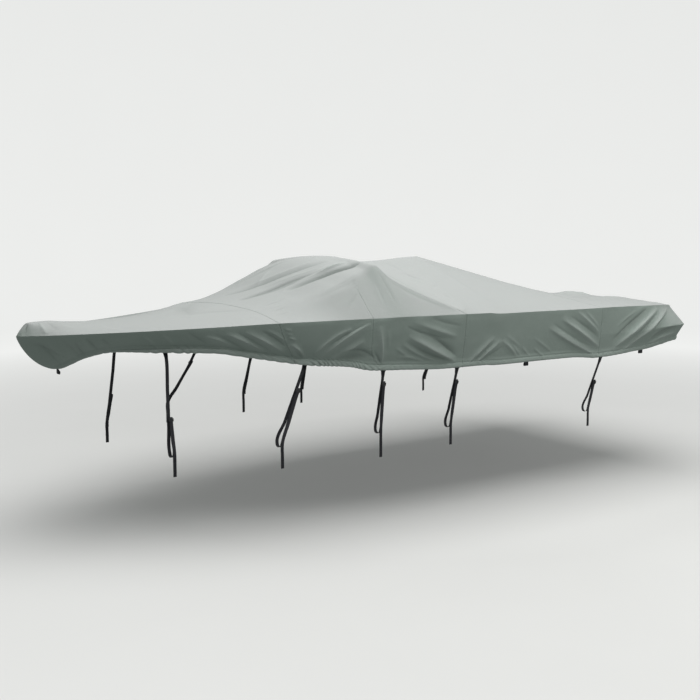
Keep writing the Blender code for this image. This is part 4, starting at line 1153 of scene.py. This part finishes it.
def seam_stitches(station, offset):
    """A row of stitches along a cross seam, a little aft of it."""
    def place(share):
        v = -SEAM_END + 2 * SEAM_END * share
        return cloth(station + offset / stretch(station, v), v)
    return stitch_line(place, SEAM_POINTS)


def dart_stitches(side, offset):
    def place(share):
        v = DART[0].v + (DART[-1].v - DART[0].v - 0.01) * share
        return cloth(column_v(DART, v) + offset, side * v)
    return stitch_line(place, DART_POINTS)


def casing_stitches(side):
    def place(share):
        x = CASING_FROM + (TAIL_STATION - CASING_FROM) * share
        return cloth(x, side * (2 - CASING / column(HANGS, "drop", x)))
    return stitch_line(place, CASING_POINTS)


def smooth_path(points, spacing):
    """Points at an even spacing on a smooth curve through a list of points."""
    points = np.array(points, float)
    gap = np.linalg.norm(np.diff(points, axis=0), axis=-1)
    keep = np.concatenate([[True], gap > 1e-6])
    knots = np.pad(gap[gap > 1e-6].cumsum(), (1, 0))
    points = points[keep]
    at = np.linspace(0, knots[-1], max(2, int(knots[-1] / spacing)))
    run = [ease_curve(points[:, axis], knots, at) for axis in range(3)]
    return np.stack(run, axis=-1), at, knots, keep


def ease_curve(values, knots, at):
    """A smooth curve through values, without the flat tops of ease()."""
    slope = np.diff(values) / np.diff(knots)
    span = np.diff(knots)
    tangent = np.empty(len(values))
    tangent[0], tangent[-1] = slope[0], slope[-1]
    tangent[1:-1] = (slope[:-1] * span[1:] + slope[1:] * span[:-1]) / (span[1:] + span[:-1])
    i = np.clip(np.searchsorted(knots, at, side="right") - 1, 0, len(span) - 1)
    t = (at - knots[i]) / span[i]
    return cubic(values, tangent, span, i, t)


def web_strip(name, path, wide, flats, material, held):
    """Webbing along a path, with rounded edges."""
    middle, at, knots, keep = smooth_path(path, WEB_STEP)
    width = np.interp(at, knots, np.array(wide)[keep])[:, None]
    flat_rows = np.array(flats, float)[keep]
    flat = np.stack([np.interp(at, knots, flat_rows[:, i]) for i in range(3)], axis=-1)
    run = np.gradient(middle, axis=0)
    run /= np.linalg.norm(run, axis=1, keepdims=True)
    flat = flat - (flat * run).sum(1, keepdims=True) * run
    flat /= np.linalg.norm(flat, axis=1, keepdims=True)
    face = np.cross(run, flat)
    ring = [
        (-0.50, 0.0), (-0.485, -0.5), (-0.43, -0.62), (-0.38, -0.5), (0.0, -0.5),
        (0.38, -0.5), (0.43, -0.62), (0.485, -0.5), (0.50, 0.0), (0.485, 0.5),
        (0.43, 0.62), (0.38, 0.5), (0.0, 0.5), (-0.38, 0.5), (-0.43, 0.62), (-0.485, 0.5),
    ]
    sides = len(ring)
    rings = [middle + flat * width * i + face * WEB_THICK * j for i, j in ring]
    points = np.stack(rings, axis=1).reshape(-1, 3)
    across = np.array([i for i, _ in ring])
    places = np.stack([
        (width * across[None, :]).ravel(),
        np.repeat(at, sides),
    ], axis=-1)
    first = sides * np.arange(len(middle) - 1)[:, None]
    a = np.arange(sides)[None, :]
    b = (a + 1) % sides
    quads = np.stack([first + a, first + b, first + b + sides, first + a + sides], axis=-1)
    faces = quads.reshape(-1, 4).tolist()
    faces.append(list(range(sides))[::-1])
    faces.append([sides * (len(middle) - 1) + i for i in range(sides)])
    piece = piece_from(name + "_webbing", points, faces, material, places)
    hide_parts(name)


def loop_path(top, out, across, sewn):
    """A strip folded in two: its ends at the hem, its fold hanging below."""
    up = UP
    layer = WEB_THICK + SEAT_GAP
    back = LOOP_GAP + WEB_THICK
    radius = back / 2
    low = radius + WEB_THICK / 2 - LOOP_DROP
    points = [top + up * sewn, top, top + up * low / 2]
    points += arc(top + up * low - out * radius, out * radius, -up * radius, 0, pi, 7)
    points += [top - up * LOOP_NECK - out * back, top - out * layer]
    points += [top + up * sewn - out * layer]
    return points, [LOOP_WIDTH] * len(points), [across] * len(points)


def hem_loop_path(cloth_face, out, across):
    top = behind(cloth_face, LOOP_WIDTH / 2, out, 0.0)
    return loop_path(top, out, across, LOOP_SEWN)


def nose_loop_path():
    hem = surface(0.0, 2.0)
    sewn = SEAT_GAP * 4
    top = np.array([NOSE_LOOP_BACK, 0.0, hem[2] - SEAT_GAP - sewn])
    return loop_path(top, -AFT, FAR, sewn)


def buckle(name, tie, side, material):
    """A ladder buckle over the free end: two rails, three bars and a lifted lip."""
    points, _, _, fold = tie_path(tie, side)
    run = unit(points[fold + 1] - points[fold])
    flat = unit(AFT - (AFT @ run) * run)
    out = np.cross(run, flat)
    out *= np.sign(out[1]) * side
    middle = points[fold] + run * BUCKLE_DOWN
    middle = middle + out * (WEB_THICK / 2 + SEAT_GAP + BUCKLE_THICK / 2)
    wide, long, thick = BUCKLE_WIDE / 2, BUCKLE_LONG / 2, BUCKLE_THICK / 2
    rail = BUCKLE_RAIL
    bars = (
        (-wide, -wide + rail, -long, long, -thick, thick),
        (wide - rail, wide, -long, long, -thick, thick),
        (-wide + rail / 2, wide - rail / 2, -long, -long + rail, -thick, thick * 0.7),
        (-wide + rail / 2, wide - rail / 2, -rail / 2, rail / 2, -thick, thick * 0.5),
        (-wide + rail / 2, wide - rail / 2, long - rail * 1.3, long, -thick * 0.6, thick),
    )
    form = bmesh.new()
    for a0, a1, b0, b1, c0, c1 in bars:
        cube = bmesh.ops.create_cube(form, size=1.0)["verts"]
        for vert in cube:
            i, j, k = vert.co
            spot = (
                middle
                + flat * (a0 + (a1 - a0) * (i + 0.5))
                + run * (b0 + (b1 - b0) * (j + 0.5))
                + out * (c0 + (c1 - c0) * (k + 0.5))
            )
            vert.co = to_origin(spot)
    bmesh.ops.recalc_face_normals(form, faces=form.faces)
    bmesh.ops.bevel(
        form, geom=list(form.edges), offset=BUCKLE_EDGE, segments=2, affect="EDGES", profile=0.6
    )
    mesh = bpy.data.meshes.new(name + "_frame")
    form.to_mesh(mesh)
    form.free()
    piece = ridden(name + "_frame", mesh, material)
    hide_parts(name)


def feed(tree, socket, value):
    if isinstance(value, bpy.types.NodeSocket):
        tree.links.new(value, socket)
    else:
        socket.default_value = value


def node(tree, kind, **inputs):
    """A shader node with its inputs set: a number or colour, or another node's output."""
    made = tree.nodes.new(kind)
    for label, value in inputs.items():
        socket = made.inputs[int(label[1:])] if label[0] == "n" else made.inputs[label]
        feed(tree, socket, value)
    return made


def new_material(name):
    material = bpy.data.materials.new(name)
    material.use_nodes = True
    return material, material.node_tree, material.node_tree.nodes["Principled BSDF"]


def dress(tree, shader, **looks):
    """Sets inputs of the main shader. A label's underscores stand for spaces."""
    for label, value in looks.items():
        feed(tree, shader.inputs[label.replace("_", " ")], value)


def on_cloth(tree):
    """Places in metres along a piece's own cloth."""
    metres = node(tree, "ShaderNodeUVMap")
    metres.uv_map = "metres"
    return metres.outputs["UV"]


def in_space(tree):
    return node(tree, "ShaderNodeTexCoord").outputs["Object"]


def ranged(tree, value, low, high, to_low, to_high):
    return node(tree, "ShaderNodeMapRange", n0=value, n1=low, n2=high, n3=to_low,
                n4=to_high).outputs[0]


def mixed(tree, share, first, second):
    """A colour between two, by share."""
    mix = tree.nodes.new("ShaderNodeMix")
    mix.data_type = "RGBA"
    for place, value in ((0, share), (6, first), (7, second)):
        feed(tree, mix.inputs[place], value)
    return mix.outputs[2]


def math_node(tree, operation, first, second):
    made = tree.nodes.new("ShaderNodeMath")
    made.operation = operation
    for place, value in enumerate((first, second)):
        feed(tree, made.inputs[place], value)
    return made.outputs[0]


def noise(tree, where, scale, detail, roughness=0.5):
    made = node(tree, "ShaderNodeTexNoise", Vector=where, Scale=scale, Detail=detail,
                Roughness=roughness)
    return made.outputs["Fac"]


def patches(tree, where, scale, detail, low, high, roughness=0.5):
    """Noise as a mask between 0 and 1: none below low, and full above high."""
    return ranged(tree, noise(tree, where, scale, detail, roughness), low, high, 0.0, 1.0)


def tinted(tree, mask, most, colour, tint):
    """A colour with at most this share of a tint, where the mask is 1."""
    return mixed(tree, math_node(tree, "MULTIPLY", mask, most), colour, tint)


def threads(tree, where, direction, pitch):
    """Parallel threads or ribs at a pitch in metres, as waves between 0 and 1."""
    made = node(tree, "ShaderNodeTexWave", Vector=where, Scale=WAVE_UNIT / pitch)
    made.bands_direction = direction
    return made.outputs["Fac"]


def bumped(tree, height, distance, strength, normal=None):
    made = node(tree, "ShaderNodeBump", Height=height, Distance=distance, Strength=strength)
    if normal is not None:
        tree.links.new(normal, made.inputs["Normal"])
    return made.outputs["Normal"]


def mark(tree, name):
    """A value that each point of the mesh carries."""
    made = node(tree, "ShaderNodeAttribute")
    made.attribute_name = name
    return made.outputs["Fac"]


def cloth_material():
    """Matt coated cloth in a plain weave, marked by weather. Its top is painted lighter and
    greyer, partly sun bleaching and partly painted top light; its troughs get painted shade with
    some dirt, and its ridges a painted highlight with some wear.
    """
    material, tree, shader = new_material("sage_cloth")
    where = on_cloth(tree)
    place = in_space(tree)
    warp, weft = threads(tree, where, "X", THREAD_PITCH), threads(tree, where, "Y", THREAD_PITCH)
    weave = math_node(tree, "MULTIPLY", warp, weft)
    blotch = patches(tree, place, 1.7, 4.0, 0.30, 0.70)
    streak = patches(tree, place, 9.0, 5.0, 0.35, 0.70, 0.6)
    speck = patches(tree, where, 420.0, 2.0, 0.35, 0.75)
    top_light_and_bleach, fold = mark(tree, "top_light_and_bleach"), mark(tree, "fold")
    colour = mixed(tree, blotch, CLOTH_DARK, CLOTH_LIGHT)
    # upward faces painted lighter and greyer: partly sun bleaching, partly painted top light,
    # which leaves slopes such as the dome's front darker
    colour = mixed(tree, ranged(tree, top_light_and_bleach, 0.30, 0.75, 0.0, 1.0), colour, CLOTH_SLOPE_LIT_AND_BLEACHED)
    colour = mixed(tree, ranged(tree, top_light_and_bleach, 0.78, 0.97, 0.0, 1.0), colour, CLOTH_LIT_AND_BLEACHED)
    # painted shade, with some dirt, in the troughs; a painted highlight, with some wear, on the
    # ridges and the hem's casing
    colour = mixed(tree, ranged(tree, fold, -1.0, 0.0, 0.50, 0.0), colour, CLOTH_TROUGH_SHADE_AND_DIRT)
    colour = mixed(tree, ranged(tree, fold, 0.0, 1.0, 0.0, 0.42), colour, CLOTH_PALE)
    colour = tinted(tree, streak, 0.15, colour, CLOTH_WORN)
    colour = tinted(tree, speck, 0.30, colour, CLOTH_PALE)
    colour = tinted(tree, weave, 0.18, colour, CLOTH_PALE)
    normal = bumped(tree, noise(tree, place, 26.0, 5.0, 0.55), 0.0035, CRUMPLE)
    normal = bumped(tree, noise(tree, where, 150.0, 3.0), 0.0006, 0.5, normal)
    normal = bumped(tree, weave, 0.0003, 0.5, normal)
    dress(tree, shader, Base_Color=colour, Normal=normal, Specular_IOR_Level=0.25,
          Roughness=ranged(tree, speck, 0.0, 1.0, 0.84, 0.95), Sheen_Weight=0.08,
          Sheen_Roughness=0.6)
    return material


def thread_material():
    material, tree, shader = new_material("sewing_thread")
    place = in_space(tree)
    tone = patches(tree, place, 90.0, 2.0, 0.3, 0.7)
    colour = mixed(tree, tone, CLOTH_DARK, CLOTH_PALE)
    normal = bumped(tree, noise(tree, place, 900.0, 2.0), 0.0003, 0.6)
    dress(tree, shader, Base_Color=colour, Normal=normal, Roughness=0.8)
    return material


def web_material():
    """Black ribbed webbing, greyed in patches where it has rubbed."""
    material, tree, shader = new_material("black_webbing")
    where = on_cloth(tree)
    ribs = threads(tree, where, "X", WEB_RIB_PITCH)
    picks = threads(tree, where, "Y", WEB_PICK_PITCH)
    weave = math_node(tree, "MULTIPLY", ribs, math_node(tree, "ADD", picks, 0.6))
    rub = patches(tree, where, 60.0, 4.0, 0.50, 0.80)
    colour = tinted(tree, weave, 0.35, WEB_DARK, WEB_RIB)
    colour = tinted(tree, rub, 0.35, colour, WEB_RUBBED)
    dress(tree, shader, Base_Color=colour, Normal=bumped(tree, weave, 0.0006, 0.7),
          Roughness=ranged(tree, rub, 0.0, 1.0, 0.62, 0.85), Specular_IOR_Level=0.35)
    return material


def buckle_material():
    """Moulded black plastic with a fine grain, scuffed in places."""
    material, tree, shader = new_material("moulded_plastic")
    place = in_space(tree)
    grain = noise(tree, place, 1400.0, 2.0)
    scuff = patches(tree, place, 120.0, 4.0, 0.55, 0.80)
    colour = tinted(tree, scuff, 0.5, PLASTIC_DARK, PLASTIC_SCUFF)
    dress(tree, shader, Base_Color=colour, Normal=bumped(tree, grain, 0.0002, 0.4),
          Roughness=ranged(tree, scuff, 0.0, 1.0, 0.38, 0.60))
    return material


def build_cloth():
    material, thread = cloth_material(), thread_material()
    ends = (0.0,) + SEAM_STATIONS + (TAIL_STATION,)
    for cut, start, end in zip(CUTS, ends[:-1], ends[1:]):
        piece = cloth_panel(cut.node + "_cloth", start, end, material)
        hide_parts(cut.node)
    rows = [seam_stitches(s, offset) for s in SEAM_STATIONS for offset in SEAM_ROWS]
    stitches("seam_stitches", rows, thread)
    rows = [dart_stitches(side, offset) for _, side in SIDES for offset in SEAM_ROWS]
    stitches("dart_stitches", rows, thread)
    stitches("hem_stitches", [casing_stitches(side) for _, side in SIDES], thread)


def build_webbing():
    material, plastic = web_material(), buckle_material()
    for label, side in SIDES:
        for number, tie in enumerate(TIES, start=1):
            points, wide, flats, _ = tie_path(tie, side)
            web_strip(f"tie_{label}_{number}", points, wide, flats, material, "hung")
            buckle(f"buckle_{label}_{number}", tie, side, plastic)
        for number, station in enumerate(LOOP_STATIONS, start=1):
            path = hem_loop_path(side_hem(station, side), FAR * side, AFT)
            web_strip(f"loop_{label}_{number}", *path, material, "folded")
        path = hem_loop_path(tail_hem(side), AFT, FAR)
        web_strip(f"loop_{label}_corner", *path, material, "folded")
    web_strip("loop_nose", *nose_loop_path(), material, "folded")


def build_stage():
    """A pale round floor that curves up into a wall, and soft light from above."""
    material, tree, shader = new_material("pale_floor")
    place = in_space(tree)
    tone = noise(tree, place, 0.8, 3.0)
    distance = node(tree, "ShaderNodeVectorMath", n0=place)
    distance.operation = "LENGTH"
    glow = ranged(tree, distance.outputs["Value"], GLOW_FROM, GLOW_TO, GLOW_NEAR, GLOW_FAR)
    dress(tree, shader, Base_Color=mixed(tree, tone, FLOOR_DARK, FLOOR_LIGHT),
          Emission_Strength=glow, Emission_Color=FLOOR_GLOW, Roughness=0.95,
          Specular_IOR_Level=0.1)
    turn = np.linspace(0, pi / 2, 17)
    far_out = np.concatenate([[0.01], FLOOR_REACH + FLOOR_CURVE * np.sin(turn)])
    far_out = np.append(far_out, far_out[-1])
    high = np.concatenate([[0.0], FLOOR_CURVE * (1 - np.cos(turn)), [FLOOR_HIGH]])
    round_turn = np.linspace(0, 2 * pi, FLOOR_SIDES, endpoint=False)
    spots = [
        (r * np.cos(t), r * np.sin(t), GROUND + h)
        for r, h in zip(far_out, high)
        for t in round_turn
    ]
    index = np.arange(len(spots)).reshape(-1, FLOOR_SIDES)
    index = np.concatenate([index, index[:, :1]], axis=1)
    mesh = bpy.data.meshes.new("floor")
    mesh.from_pydata(spots, [], grid_faces(index).tolist() + [index[0, :-1].tolist()])
    floor = smooth_object("floor", mesh, material)
    floor.visible_diffuse = False
    floor.visible_glossy = False
    for lamp in LAMPS:
        data = bpy.data.lights.new(lamp.name, "AREA")
        data.shape = "RECTANGLE"
        data.size, data.size_y, data.energy = lamp.wide, lamp.long, lamp.watts
        data.color = lamp.colour
        light = linked(lamp.name, data)
        light.location = lamp.place
        aim_at = np.array(lamp.aim) - np.array(lamp.place)
        light.rotation_euler = Vector(aim_at).to_track_quat("-Z", "Y").to_euler()
    world = bpy.data.worlds.new("studio")
    world.use_nodes = True
    sky = world.node_tree.nodes["Background"]
    sky.inputs["Color"].default_value = SKY_COLOUR
    sky.inputs["Strength"].default_value = SKY_STRENGTH
    bpy.context.scene.world = world


def build_camera():
    data = bpy.data.cameras.new("camera")
    data.lens = CAMERA_LENS
    data.sensor_width = 36.0
    camera = linked("camera", data)
    camera.location = CAMERA_PLACE
    camera.rotation_euler = [radians(angle) for angle in CAMERA_TURN]
    bpy.context.scene.camera = camera


build_camera()
build_cloth()
build_webbing()
build_stage()
bpy.context.scene.view_settings.view_transform = "Standard"
